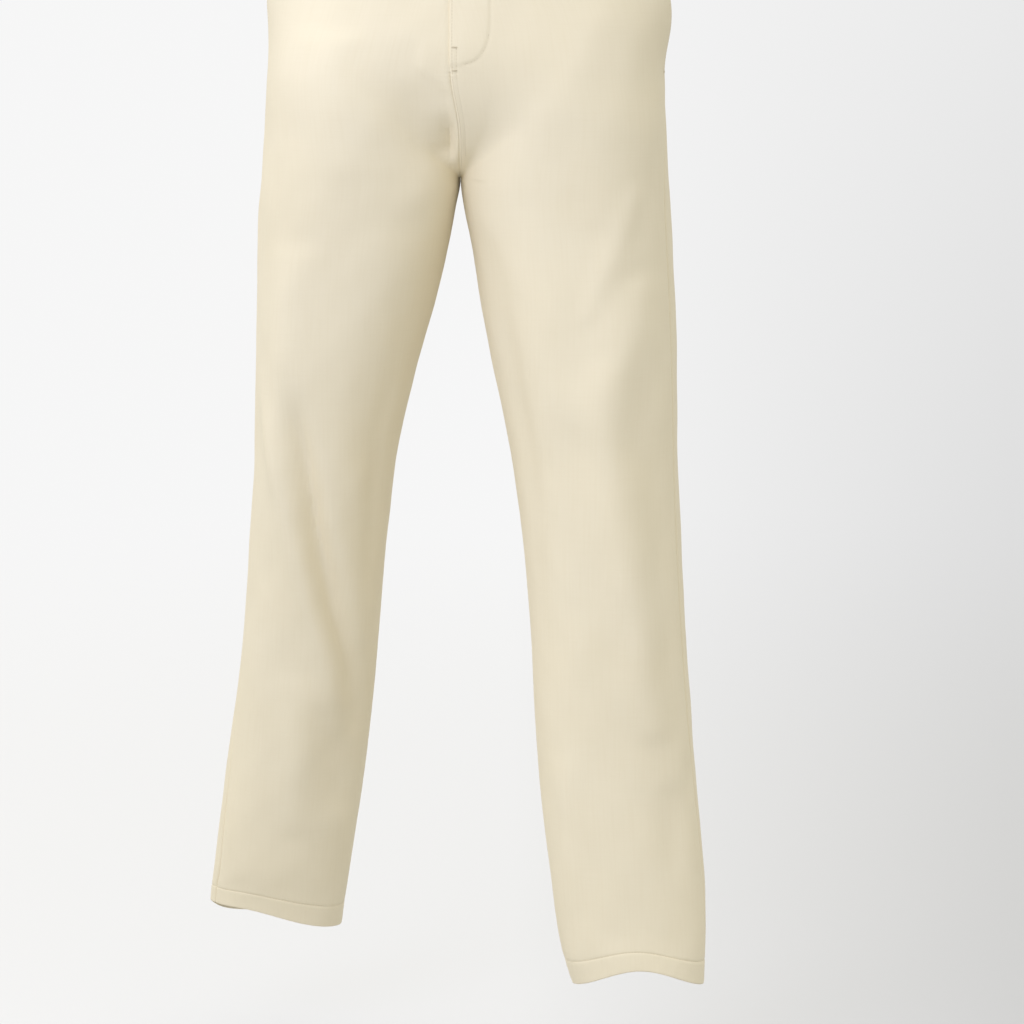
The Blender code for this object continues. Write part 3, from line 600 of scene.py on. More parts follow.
# ---------------------------------------------------------------- relief of seams, stitch lines and edges

def fly_reach(height):
    """How far the fly stitching lies from the lap's edge: straight down, then round to the edge."""
    down = np.clip((FLY_STRAIGHT - height) / FLY_DROP, 0.0, 1.0)
    return FLY_WIDTH * (1 - down**FLY_SQUARENESS) ** (1 / FLY_SQUARENESS)


def fly_stitch_distance(height, from_edge):
    """Signed distance from the fly stitching, above 0 inside it."""
    reach = fly_reach(height)
    slope = (fly_reach(height + 0.5) - fly_reach(height - 0.5)) / 1.0
    return (reach - from_edge) / np.sqrt(1 + slope**2)


def seam_roll(distance, deep=1.5, soft=0.45):
    """How the cloth turns down into a seam."""
    return -deep * np.exp(-distance / 1.3) - soft * np.exp(-distance / 7.0)


def groove(distance, depth=0.5, width=0.8):
    """The line that a row of stitches pulls into the cloth."""
    return -depth * bell(distance / width) - 0.25 * depth * bell(distance / (4 * width))


def lap_relief(height, from_edge):
    """The left front's fly: raised over its facing, stitched round, with small puckers at its foot."""
    above = smooth_step((height - LAP_END) / LAP_FADE)
    inside = fly_stitch_distance(height, from_edge)
    raised = 0.75 * above * smooth_step(inside / 1.4 + 0.5)
    sewn = (groove(inside, 0.6) + groove(from_edge - EDGE_ROW, 0.45)) * above
    edge = 0.5 * above * bell(from_edge / 5.0) - 0.55 * above * np.exp(-from_edge / 0.6)
    pucker = 0.55 * bell((height - LAP_END) / 8.0) * np.sin(height * 1.35) * np.exp(-from_edge / 7.0)
    second = groove(from_edge - SECOND_ROW, 0.45) * smooth_step((SECOND_TOP - height) / 3)
    second = second * smooth_step((height - SECOND_FADE) / 6)
    below = (1 - above) * seam_roll(from_edge, 0.9, 0.5)
    ridge = 0.35 * (1 - above) * bell((from_edge - 3.0) / 2.2)
    return raised + sewn + edge + pucker + second + below + ridge


def tucked_relief(height, from_edge):
    """The right front's edge goes down and under the lap."""
    above = smooth_step((height - LAP_END) / LAP_FADE)
    down = -0.95 * above * (1 - smooth_step((from_edge - 0.4) / 3.2))
    pucker = 0.5 * bell((height - TUCKED_PUCKER) / 7.0) * np.sin(height * 1.5)
    pucker = pucker * np.exp(-np.abs(from_edge) / 9.0)
    below = (1 - above) * seam_roll(np.abs(from_edge), 1.0, 0.5)
    return down + pucker + below


def panel_relief(side, face, height, place, start, end):
    """What the sewing adds to one row of a panel: rolls into seams, stitch grooves, edges, hem roping."""
    from_start, from_end = np.abs(place - start), np.abs(end - place)
    total = slow_waves(side, height, place)
    total = total * smooth_step(from_start / 14.0) * smooth_step(from_end / 14.0)
    rope = 1 + 0.22 * math.sin(height * 0.71) + 0.14 * math.sin(height * 0.29 + 1.0)
    if face == FRONT and height > MOUTH_END:
        in_mouth = min(1.0, (height - MOUTH_END) / 5.0)
        total += -0.35 * np.exp(-from_start / 0.7)
        near_row, far_row = MOUTH_ROWS
        total += in_mouth * (groove(from_start - near_row, 0.22) + groove(from_start - far_row))
        total += in_mouth * 0.3 * (1 - smooth_step((from_start - far_row) / 1.5))
    else:
        total += seam_roll(from_start, 2.3, 0.6) * (0.9 + 0.1 * rope)
    if face == FRONT and height > CROTCH:
        from_centre = ring_end(side, height, FRONT) - place
        total += lap_relief(height, from_centre) if side == LEFT else tucked_relief(height, from_centre)
    else:
        total += seam_roll(from_end, 1.15, 0.5) * rope
    hem_top = height - (HEM[side] + HEM_DEPTH)
    total += groove(hem_top, 0.6, 1.0)
    total += 0.12 * (1 - smooth_step(hem_top / 2.0 + 0.5))
    roping = np.sin(place / 2.1 + hem_top * 0.22) + 0.6 * np.sin(place / 5.3 - hem_top * 0.1 + 1.2)
    total += 0.09 * roping * (1 - smooth_step((hem_top - 1.0) / 3.0))
    total += 0.12 * np.sin(place / 6.7 + 0.8) * bell((hem_top - 4.0) / 5.0)
    band_line = -BAND_DEPTH - height
    total += -0.5 * np.exp(-band_line / 1.0) - 0.25 * np.exp(-band_line / 6.0)
    return total


# ---------------------------------------------------------------- rows and columns

Row = namedtuple("Row", "height out in_height in_out")


def panel_rows(side):
    """Rows of a panel, from the turned-up hem's edge inside, round the hem fold, up to the waistband."""
    turn_out, turn_in = -2 * FOLD_RADIUS, -2 * FOLD_RADIUS + CLOTH
    fold_at = HEM[side] + FOLD_RADIUS
    stitch = HEM[side] + HEM_DEPTH
    inside = np.arange(stitch + 3.0, fold_at + 0.5, -HEM_STEP * 2)
    rows = [Row(height, turn_out, height, turn_in) for height in inside]
    for turn in np.linspace(math.pi, 0.0, FOLD_ROWS + 1):
        outer = (fold_at - FOLD_RADIUS * math.sin(turn), -FOLD_RADIUS + FOLD_RADIUS * math.cos(turn))
        small = FOLD_RADIUS - CLOTH
        rows.append(Row(*outer, fold_at - small * math.sin(turn), -FOLD_RADIUS + small * math.cos(turn)))
    hem = np.arange(fold_at + HEM_STEP, stitch + 8.0, HEM_STEP)
    leg = np.linspace(hem[-1], CROTCH, round((CROTCH - hem[-1]) / LEG_STEP) + 1)[1:]
    curve_length = (FRONT_CURVE + BACK_CURVE) / 2
    turn = np.linspace(0.0, math.pi / 2, CURVE_ROWS + 1)[1:]
    curve = CROTCH + curve_length * (1 - np.cos(turn))
    curve = curve[curve > CROTCH + FIRST_FORK_ROW]
    top = -BAND_DEPTH - SEAM_GAP
    hip = np.linspace(curve[-1], top, round((top - curve[-1]) / HIP_STEP) + 1)[1:]
    plain = [float(height) for height in (*hem, *leg, *curve, *hip)]
    return rows + [Row(height, 0.0, height, -CLOTH) for height in plain]


def panel_edges(side, height, face):
    """Places of a panel's outer and inner edge at one height."""
    end = ring_end(side, height, face) - (SEAM_GAP / 2 if height <= CROTCH else 0.0)
    start = mouth_place(side, height) if face == FRONT else seam_place(side, height)
    if face == FRONT and height > CROTCH:
        lap = float(smooth_step((height - LAP_END) / LAP_FADE))
        end += lap * (0.9 if side == LEFT else 3.0)
    return face * (face * start + SEAM_GAP / 2), face * end


def panel_places(side, height, face):
    """Places round one panel at one height, close together at its edges and over the fly."""
    start, end = panel_edges(side, height, face)
    low, high = (start, end) if face == FRONT else (-start, -end)
    near_end = np.array(FLY_COLUMNS if (side, face) == (LEFT, FRONT) else EDGE_COLUMNS)
    near_start = np.array(EDGE_COLUMNS)
    straight = min(high, ring_end(side, CROTCH + FRONT_CURVE, face))
    share = np.linspace(0.0, 1.0, OPEN_COLUMNS + 2)[1:-1]
    base, top = low + near_start[-1], high - near_end[-1]
    middle = base + share * (min(straight - near_end[-1], top) - base)
    spread = top - min(straight - near_end[-1], top)
    near_fork = float(1 - smooth_step((abs(height - CROTCH) - FORK_REACH) / FORK_REACH))
    if near_fork > 0:
        around = [abs(panel_edges(side, height + step, face)[1]) - high for step in FORK_STEPS]
        spread = spread + near_fork * float(np.mean(around)) * (1 - share**FORK_HOLD)
    middle += spread * share**INNER_CROWDING
    return face * np.concatenate((low + near_start, middle, (high - near_end)[::-1]))


# ---------------------------------------------------------------- making meshes

def finish(name, bm, look):
    """Turns a bmesh into a shaded piece that rides on the trousers."""
    mesh = bpy.data.meshes.new(name)
    bm.to_mesh(mesh)
    bm.free()
    mesh.materials.append(look)
    mesh.polygons.foreach_set("use_smooth", [True] * len(mesh.polygons))
    mesh.set_sharp_from_angle(angle=SHARP_ANGLE)
    made = bpy.data.objects.new(name, mesh)
    bpy.context.scene.collection.objects.link(made)
    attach(made, "root")
    return made


def cloth_shell(name, look, outer, inner, cut):
    """A closed shell between two grids of points (rows, columns, 3), in millimetres; cut is each point's
    place and height in the unrolled cloth, kept as the piece's UV map in metres."""
    rows, columns = outer.shape[:2]
    bm = bmesh.new()
    spot = bm.verts.layers.int.new("spot")
    bmesh.ops.create_grid(bm, x_segments=columns - 1, y_segments=rows - 1, size=0.5)
    for vert in bm.verts:
        row, column = round((vert.co.y + 0.5) * (rows - 1)), round((vert.co.x + 0.5) * (columns - 1))
        vert[spot] = row * columns + column
    made = bmesh.ops.extrude_face_region(bm, geom=bm.faces[:], use_keep_orig=True)
    lifted = {vert for vert in made["geom"] if isinstance(vert, bmesh.types.BMVert)}
    outer_points, inner_points = (outer * MM).reshape(-1, 3).tolist(), (inner * MM).reshape(-1, 3).tolist()
    for vert in bm.verts:
        vert.co = (outer_points if vert in lifted else inner_points)[vert[spot]]
    bmesh.ops.recalc_face_normals(bm, faces=bm.faces)
    piece = finish(name, bm, look)
    mesh = piece.data
    spots, corners = np.empty(len(mesh.vertices), np.int32), np.empty(len(mesh.loops), np.int32)
    mesh.attributes["spot"].data.foreach_get("value", spots)
    mesh.loops.foreach_get("vertex_index", corners)
    flat = (cut * MM).reshape(-1, 2)[spots[corners]]
    mesh.uv_layers.new(name="cloth").data.foreach_set("uv", flat.astype(np.float32).ravel())
    mesh.attributes.remove(mesh.attributes["spot"])
    return piece


def cloth_piece(name, look, layers, nodes):
    """Makes the cut piece that stands for these nodes; layers are its outer, inner and flat grids."""
    outer, inner, cut = (np.array(layer) for layer in layers)
    piece = cloth_shell(name, look, outer, inner, cut)
    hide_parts(*nodes)


def offset_rows(side, rows, places_at, relief_at=None, gape_at=None):
    """Outer and inner grids, and the cut's flat places, of cloth that follows one side's skin."""
    outer, inner, cut = [], [], []
    for row in rows:
        layers = []
        for height, out in ((row.height, row.out), (row.in_height, row.in_out)):
            if layers and height == row.height:
                points, normal, relief = layers[0]
            else:
                place = places_at(height)
                gape = gape_at(height, place) if gape_at else np.zeros_like(place)
                points = skin(side, height, place, gape)
                normal = outward(side, height, place, points, gape)
                relief = relief_at(height, place) if relief_at else np.zeros_like(place)
            layers.append((points, normal, relief))
            (outer if len(layers) == 1 else inner).append(points + normal * (relief + out)[:, None])
        place = places_at(row.height)
        cut.append(np.stack((place, np.full_like(place, row.height + min(row.out, 0.0) * 20)), axis=-1))
    return np.array(outer), np.array(inner), np.array(cut)


# ---------------------------------------------------------------- cut pieces

def panel(side, face, look):
    """A front or back, from the waistband down and round its turned-up hem."""
    label = ("front_" if face == FRONT else "back_") + SIDE_NAMES[side]

    def places_at(height):
        return panel_places(side, height, face)

    def gape_at(height, place):
        return panel_gape(side, face, height, place)

    def relief_at(height, place):
        return panel_relief(side, face, height, place, *panel_edges(side, height, face))

    layers = offset_rows(side, panel_rows(side), places_at, relief_at, gape_at)
    nodes = (label, label + "_shin", "hem_" + label)
    cloth_piece(label + "_cloth", look, layers, nodes)


def hip_heights(low, high=-BAND_DEPTH - SEAM_GAP, step=2.5):
    return [float(height) for height in np.linspace(low, high, round((high - low) / step) + 1)]


def pocket_facing(side, look):
    """The piece behind the slanted mouth: level with the back at the side seam, then under the front."""
    under = -(WALL + CURVED_LAYER_GAP)

    def places_at(height):
        hidden = smooth_step((MOUTH_END + FACING_STEP_IN - height) / (2 * FACING_STEP_IN))
        start = seam_place(side, height) + SEAM_GAP / 2 + FACING_SET_BACK * hidden
        end = mouth_place(side, height) + FACING_UNDERLAP
        near = np.array(EDGE_COLUMNS)
        share = np.linspace(0.0, 1.0, 18)[1:]
        return np.concatenate((start + near, start + near[-1] + share * (end - start - near[-1])))

    def relief_at(height, place):
        open_side = (mouth_place(side, height) - place) / FACING_TURN
        return under * (1 - smooth_step(open_side)) + seam_roll(place - place[0])

    rows = [Row(height, 0.0, height, -CLOTH) for height in hip_heights(FACING_END)]
    layers = offset_rows(side, rows, places_at, relief_at)
    node = "pocket_facing_" + SIDE_NAMES[side]
    cloth_piece(node + "_cloth", look, layers, (node,))


# The band's cross-section: height, how far the outer face and the inner face draw in
BAND_PROFILE = (
    (-BAND_DEPTH, 0.85, 0.85), (-BAND_DEPTH + 0.25, 0.4, 0.4), (-BAND_DEPTH + 0.7, 0.12, 0.1),
    (-BAND_DEPTH + 1.4, 0.12, 0.0), (-BAND_DEPTH + 2.0, 0.3, 0.05), (-BAND_DEPTH + 2.6, 0.12, 0.0),
    (-BAND_DEPTH + 4.5, 0.0, 0.0), (-32.0, 0.02, 0.0), (-26.0, 0.08, 0.0), (-20.0, 0.12, 0.0),
    (-14.0, 0.08, 0.0), (-8.0, 0.0, 0.0), (-4.4, 0.05, 0.0), (-2.6, 0.12, 0.0), (-2.0, 0.3, 0.05),
    (-1.4, 0.15, 0.0), (-0.7, 0.15, 0.12), (-0.25, 0.42, 0.42), (0.0, 0.9, 0.9),
)


def band_places(side):
    """Places round half a waistband as shares: -1 centre back, 1 centre front, more is the underlap."""
    share = np.linspace(-1.0, 1.0, 110)
    if side == LEFT:
        return share
    half_band = ring_end(side, -BAND_DEPTH / 2, FRONT)
    return np.concatenate((share, 1 + np.linspace(0.0, UNDERLAP / half_band, 20)[1:]))


def band_tuck(past_centre):
    """How far the right half lies in, this far past the centre front, to go under the left one."""
    return (BAND_CLOTH + LAYER_GAP) * smooth_step((past_centre + TUCK_START) / TUCK_RUN)


def waistband(side, look):
    """Half a waistband; the right one goes on under the left one as the button underlap."""
    share = band_places(side)
    half_band = ring_end(side, -BAND_DEPTH / 2, FRONT)
    tuck = band_tuck((share - 1) * half_band) if side == RIGHT else np.zeros_like(share)
    from_end = (share[-1] - share) * half_band
    squeeze = 0.7 * np.exp(-from_end / 0.5)
    outer, inner, cut = [], [], []
    for height, draw_out, draw_in in BAND_PROFILE:
        back, front = ring_end(side, height, BACK), ring_end(side, height, FRONT)
        place = np.where(share < 0, share * back, share * front)
        points = skin(side, height, place)
        normal = outward(side, height, place, points)
        out = BAND_PROUD - tuck - draw_out - squeeze
        outer.append(points + normal * out[:, None])
        inner.append(points + normal * (BAND_PROUD - tuck - BAND_CLOTH + draw_in + squeeze)[:, None])
        cut.append(np.stack((place, np.full_like(place, height)), axis=-1))
    node, under = "waistband_" + SIDE_NAMES[side], "front_" + SIDE_NAMES[side] + "_cloth"
    cloth_piece(node + "_cloth", look, (outer, inner, cut), (node,))


def front_strip(height, offsets):
    """Points and outward directions beside the centre front seam; offsets run to the wearer's left."""
    place = ring_end(LEFT, height, FRONT) - offsets
    points = skin(LEFT, height, place)
    return points, outward(LEFT, height, place, points)


def front_layer(name, node, look, heights, offsets, inset, thickness):
    """A layer behind the fly; inset is how far its outer face lies in, for each offset."""
    outer, inner, cut = [], [], []
    for height in heights:
        points, normal = front_strip(height, offsets)
        outer.append(points - normal * inset[:, None])
        inner.append(points - normal * (inset[:, None] + thickness))
        cut.append(np.stack((offsets, np.full_like(offsets, height)), axis=-1))
    cloth_piece(name, look, (outer, inner, cut), (node,))


def fly_shield(look):
    """The shield behind the zip: against the right front at its seam, clear of the slider in the middle."""
    offsets = np.linspace(SHIELD_RIGHT, SHIELD_LEFT, 25)
    near = WALL + CURVED_LAYER_GAP
    rise = smooth_step((offsets - SHIELD_RIGHT - SHIELD_SEWN) / SHIELD_RISE)
    inset = near + (SHIELD_INSET - near) * rise
    front_layer("fly_shield_cloth", "fly_shield", look, hip_heights(FLY_END), offsets, inset, CLOTH)


def zip_tape(look):
    """The closed zip's tape; its left edge lies against the left front, where the fly facing is sewn."""
    offsets = np.linspace(-ZIP_HALF_WIDTH, ZIP_HALF_WIDTH, 19)
    near = WALL + CURVED_LAYER_GAP
    inset = ZIP_INSET - (ZIP_INSET - near) * smooth_step(2 * np.abs(offsets) / ZIP_HALF_WIDTH - 1)
    heights = hip_heights(FLY_END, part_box("zip_tape")[1].z / MM)
    front_layer("zip_tape_weave", "zip_tape", look, heights, offsets, inset, 0.6)


def zip_teeth(look):
    """Rows of small metal teeth gripping the tape's middle."""
    bm = bmesh.new()
    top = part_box("zip_slider")[0].z / MM - 1.0
    for number, height in enumerate(np.arange(FLY_END + 3.0, top, 1.5)):
        points, normal = front_strip(float(height), np.array((0.9 if number % 2 else -0.9,)))
        place_block(bm, points[0] - normal[0] * (ZIP_INSET + 0.3), normal[0], (0, 0, 1), (3.0, 1.6, 0.9), 0.18)
    finish("zip_teeth", bm, look)


def place_block(bm, centre, out, up, size, rounding):
    """Adds a small rounded block: size is across, out and up, in millimetres."""
    out, up = Vector(out), Vector(up)
    across = out.cross(up).normalized()
    turn = Matrix((across, out, across.cross(out))).transposed().to_4x4()
    scale = Matrix.Diagonal((*(Vector(size) * MM), 1.0))
    place = Matrix.Translation(Vector(centre) * MM) @ turn @ scale
    made = bmesh.ops.create_cube(bm, size=1.0, matrix=place)["verts"]
    edges = list({edge for vert in made for edge in vert.link_edges})
    bmesh.ops.bevel(bm, geom=edges, offset=rounding * MM, offset_type="OFFSET", affect="EDGES", segments=1,
                    profile=0.5, material=-1)


def seat_on_front(height, from_centre, outset):
    """The matrix that brings a piece modelled flat, -Y out and Z up, onto the skin left of the centre front."""
    points, normal = front_strip(height, np.array((from_centre,)))
    turn = math.atan2(normal[0][0], -normal[0][1])
    lean = math.asin(normal[0][2])
    place = Matrix.Translation(Vector((points[0] + normal[0] * outset) * MM))
    return place @ Matrix.Rotation(turn, 4, "Z") @ Matrix.Rotation(-lean, 4, "X")


def waist_button(look, thread):
    """A turned four-hole button, sewn on with crossed thread."""
    radius, round_off, top = BUTTON_RADIUS, BUTTON_ROUNDING, BUTTON_THICKNESS
    dish = radius - BUTTON_RIM
    bm = bmesh.new()
    steps = np.linspace(0.0, math.pi / 2, 5)
    flat = radius - round_off
    lower = [(flat + round_off * math.sin(turn), round_off - round_off * math.cos(turn)) for turn in steps]
    upper = [
        (flat + round_off * math.cos(turn), top - round_off + round_off * math.sin(turn)) for turn in steps
    ]
    slope = [(dish - 0.9 * share, BUTTON_WEB + (top - BUTTON_WEB) * 0.5 * (1 + math.cos(math.pi * share)))
             for share in np.linspace(0.0, 1.0, 6)]
    profile = [(0.0, 0.0), *lower, *upper, *slope, (0.0, BUTTON_WEB)]
    verts = [bm.verts.new((out * MM, -rise * MM, 0)) for out, rise in profile]
    edges = [bm.edges.new(pair) for pair in zip(verts, verts[1:])]
    bmesh.ops.spin(
        bm, geom=verts + edges, cent=(0, 0, 0), axis=(0, 1, 0), angle=math.tau, steps=64, use_merge=True
    )
    bmesh.ops.remove_doubles(bm, verts=bm.verts, dist=0.01 * MM)
    bmesh.ops.recalc_face_normals(bm, faces=bm.faces)
    button = finish("waist_button_turned", bm, look)
    bm = bmesh.new()
    for number in range(4):
        angle = math.pi / 4 + number * math.pi / 2
        across, up = BUTTON_HOLE_SPREAD * math.cos(angle), BUTTON_HOLE_SPREAD * math.sin(angle)
        place = Matrix.Translation((across * MM, 0, up * MM)) @ Matrix.Rotation(math.pi / 2, 4, "X")
        bmesh.ops.create_cone(bm, cap_ends=True, segments=20, radius1=BUTTON_HOLE_RADIUS * MM,
                              radius2=BUTTON_HOLE_RADIUS * MM, depth=4 * BUTTON_THICKNESS * MM, matrix=place)
    cutter = finish("button_hole_cutter", bm, look)
    cut = button.modifiers.new("holes", "BOOLEAN")
    cut.operation = "DIFFERENCE"
    cut.object = cutter
    bpy.context.view_layer.update()
    drilled = bpy.data.meshes.new_from_object(button.evaluated_get(bpy.context.evaluated_depsgraph_get()))
    button.modifiers.clear()
    button.data = drilled
    bpy.data.objects.remove(cutter)
    seat = seat_on_front(-BAND_DEPTH / 2, BUTTON_FROM_CENTRE, BAND_PROUD + BUTTON_STAND_OFF)
    drilled.transform(seat)
    drilled.set_sharp_from_angle(angle=math.radians(35))
    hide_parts("waist_button")
    bm = bmesh.new()
    for turn in (math.pi / 4, -math.pi / 4):
        for shift in (-0.32, 0.0, 0.32):
            along = Vector((math.cos(turn), 0, math.sin(turn)))
            side_step = Vector((-math.sin(turn), 0, math.cos(turn))) * shift
            points = [side_step + along * reach + Vector((0, out, 0)) for reach, out in BUTTON_THREAD]
            for first, second in zip(points, points[1:]):
                thread_between(bm, first, second, (0, -1, 0), (second - first).length * 1.25, 0.36, 0.36)
    shank = Matrix.Translation((0, 0.25 * MM, 0)) @ Matrix.Rotation(math.pi / 2, 4, "X")
    bmesh.ops.create_cone(bm, cap_ends=True, segments=14, radius1=1.9 * MM, radius2=1.6 * MM, depth=0.9 * MM,
                          matrix=shank)
    bmesh.ops.transform(bm, matrix=seat, verts=bm.verts)
    finish("button_thread", bm, thread)


def belt_loop(name, side, place, look):
    """A strip folded in three and sewn at its ends, standing off the band between them."""
    seat, stand = BAND_PROUD + LAYER_GAP + LOOP_CLOTH, BAND_PROUD + LOOP_STAND_OFF + LOOP_CLOTH
    foot, top = -BAND_DEPTH - LOOP_BELOW_BAND, -LAYER_GAP
    low_tack, high_tack, near = foot + LOOP_TACK, top - LOOP_TACK / 4, stand - LOOP_BEND * 0.4
    marks = ((foot, seat), (low_tack, seat), (low_tack + LOOP_BEND, near), (low_tack + 2 * LOOP_BEND, stand),
             (-BAND_DEPTH / 2, stand), (high_tack - LOOP_BEND, stand), (high_tack - LOOP_BEND / 2, near),
             (high_tack, seat), (top, seat))
    profile = smooth_profile(marks, 46)
    columns = np.array((*(-column for column in reversed(LOOP_COLUMNS[1:])), *LOOP_COLUMNS))
    from_edge = LOOP_COLUMNS[-1] - np.abs(columns)
    crown = -0.45 * np.exp(-from_edge / 0.35) - 0.14 * bell((np.abs(columns) - LOOP_ROW) / 0.5)
    middle = skin(side, -BAND_DEPTH / 2, np.array((place,)))
    normal = outward(side, -BAND_DEPTH / 2, np.array((place,)), middle)[0]
    sideways = np.array((-normal[1], normal[0], 0.0)) / math.hypot(normal[0], normal[1])
    flat = np.array((normal[0], normal[1], 0.0)) / math.hypot(normal[0], normal[1])
    face = FRONT if place >= 0 else BACK
    share = place / ring_end(side, -BAND_DEPTH / 2, face)
    outer, inner, cut = [], [], []
    for height, out in profile:
        at = share * ring_end(side, float(height), face)
        centre = skin(side, float(height), np.array((at,)))[0]
        line = centre + sideways * columns[:, None]
        outer.append(line + flat * (out + crown)[:, None])
        inner.append(line + flat * (out - LOOP_CLOTH - 0.6 * crown)[:, None])
        cut.append(np.stack((columns + place, np.full_like(columns, height)), axis=-1))
    cloth_piece(name + "_strip", look, (outer, inner, cut), (name,))
    return np.array(outer), flat


def smooth_profile(marks, count):
    """Points along a rounded line through the marks."""
    marks = np.array(marks, dtype=float)
    for _ in range(2):
        cut = [marks[0]]
        for first, second in zip(marks, marks[1:]):
            cut += [first * 0.75 + second * 0.25, first * 0.25 + second * 0.75]
        marks = np.array(cut + [marks[-1]])
    run = np.concatenate(((0.0,), np.cumsum(np.hypot(*np.diff(marks, axis=0).T))))
    at = np.linspace(0.0, run[-1], count)
    return np.stack((np.interp(at, run, marks[:, 0]), np.interp(at, run, marks[:, 1])), axis=-1)


def back_welt(side, look):
    """A welt pocket's strip: two folded lips with the slit between them."""
    low = WELT_TOP - WELT_DEPTH
    heights = low + np.array(WELT_ROWS)
    share = np.concatenate(((0.0, 0.3, 0.8, 1.6), np.linspace(3.0, WELT_LENGTH - 3.0, 60),
                            (WELT_LENGTH - 1.6, WELT_LENGTH - 0.8, WELT_LENGTH - 0.3, WELT_LENGTH)))

    def places_at(height):
        start = ring_end(side, height, BACK) - WELT_FROM_CENTRE
        return share - start

    def relief_at(height, place):
        up = height - low
        from_end = np.minimum(share, WELT_LENGTH - share)
        edge = -0.7 * np.exp(-min(up, WELT_DEPTH - up) / 0.5) - 0.7 * np.exp(-from_end / 0.5)
        slit = -1.1 * bell((up - 6.0) / 0.45) * smooth_step((from_end - 3.0) / 2.0)
        lips = 0.25 * (bell((up - 4.0) / 1.8) + bell((up - 8.0) / 1.8))
        return WELT_STAND_OFF + WELT_CLOTH + np.maximum(edge + slit, -1.25) + lips - 0.25

    rows = [Row(float(height), 0.0, float(height), -WELT_CLOTH + 0.25) for height in heights]
    def plain_at(height, place):
        return np.full_like(place, WELT_STAND_OFF + WELT_CLOTH)

    outer, _, cut = offset_rows(side, rows, places_at, relief_at)
    inner = offset_rows(side, rows, places_at, plain_at)[1]
    node, under = "back_welt_" + SIDE_NAMES[side], "back_" + SIDE_NAMES[side] + "_cloth"
    cloth_piece(node + "_cloth", look, (outer, inner, cut), (node,))


# ---------------------------------------------------------------- sewing

def thread_bit(bm, centre, along, out, length, width=0.45, thick=0.35):
    """One stitch: a small bead of thread lying along the seam; centre in metres, sizes in millimetres."""
    along, out = Vector(along).normalized(), Vector(out).normalized()
    across = out.cross(along).normalized()
    out = along.cross(across)
    turn = Matrix((across, out, along)).transposed().to_4x4()
    scale = Matrix.Diagonal((width * MM, thick * MM, length * MM, 1.0))
    bmesh.ops.create_uvsphere(bm, u_segments=6, v_segments=4, radius=0.5,
                              matrix=Matrix.Translation(Vector(centre)) @ turn @ scale)


def thread_between(bm, first, second, out, length, width, thick):
    """One stitch from point to point, in millimetres."""
    thread_bit(bm, (first + second) / 2 * MM, second - first, out, length, width, thick)


STITCH, STITCH_GAP = 2.5, 0.6


def sew(bm, points, normals, length=STITCH, gap=STITCH_GAP):
    """Runs stitches along a line of points in millimetres."""
    points, normals = np.asarray(points), np.asarray(normals)
    run = np.concatenate(((0.0,), np.cumsum(np.linalg.norm(np.diff(points, axis=0), axis=1))))
    count = max(1, int(run[-1] / (length + gap)))
    pitch = run[-1] / count
    starts = np.arange(count) * pitch + gap / 2
    for start in starts:
        ends = (start, start + pitch - gap)
        first, second = np.array([[np.interp(at, run, points[:, axis]) for axis in range(3)] for at in ends])
        out = [np.interp(start + pitch / 2, run, normals[:, axis]) for axis in range(3)]
        thread_bit(bm, (first + second) / 2 * MM, second - first, out, pitch - gap)


def panel_line(side, face, spots, lift=0.12):
    """Points and outward directions on a panel's finished face, for (height, place) pairs."""
    points, normals = [], []
    for height, place in spots:
        height, place = float(height), np.array((float(place),))
        gape = panel_gape(side, face, height, place)
        at = skin(side, height, place, gape)
        out = outward(side, height, place, at, gape)
        rise = panel_relief(side, face, height, place, *panel_edges(side, height, face))
        points.append((at + out * (rise + lift)[:, None])[0])
        normals.append(out[0])
    return points, normals


def lap_spots(heights, from_edge):
    """Spots on the left front at these heights and distances from the lap's edge."""
    return [(height, ring_end(LEFT, float(height), FRONT) - from_edge(float(height))) for height in heights]


def fly_stitches(bm):
    """The fly's J-shaped row, the row along the lap's edge and the second row down to the crotch."""
    round_foot = FLY_STRAIGHT - FLY_DROP * np.sin(np.linspace(0, math.pi / 2, 26))
    heights = [*np.arange(FLY_TOP, FLY_STRAIGHT, -3.0), *round_foot]
    sew(bm, *panel_line(LEFT, FRONT, lap_spots(heights, fly_reach)))
    for from_edge, top, bottom in ((EDGE_ROW, FLY_TOP, EDGE_ROW_END), (SECOND_ROW, SECOND_TOP, SECOND_END)):
        spots = lap_spots(np.arange(top, bottom, -3.0), lambda height: from_edge)
        sew(bm, *panel_line(LEFT, FRONT, spots))


def tack(bm, side, height, place, long, wide, count):
    """A bar tack: close satin stitches over a short bar laid round the leg."""
    for share in np.linspace(-0.5, 0.5, count):
        spots = ((height - wide / 2, place + share * long), (height + wide / 2, place + share * long))
        points, normals = panel_line(side, FRONT, spots, 0.3)
        thread_between(bm, *points, normals[0], wide, 0.5, 0.5)


def bar_tacks(bm):
    """Tacks at the foot of the fly and at both ends of each pocket mouth."""
    for height in FLY_TACKS:
        tack(bm, LEFT, height, ring_end(LEFT, height, FRONT) - 4.0, 5.0, 1.5, 12)
    for side in (LEFT, RIGHT):
        for height in (MOUTH_END + 3.0, -BAND_DEPTH - 6.0):
            tack(bm, side, height, mouth_place(side, height) + 4.0, 6.0, 1.6, 13)


def pocket_stitches(bm):
    """Two rows along each slant pocket mouth."""
    heights = np.arange(MOUTH_END + 3.0, -BAND_DEPTH - 1.0, 3.0)
    for side in (LEFT, RIGHT):
        for inward in MOUTH_ROWS:
            spots = [(height, panel_edges(side, float(height), FRONT)[0] + inward) for height in heights]
            sew(bm, *panel_line(side, FRONT, spots))


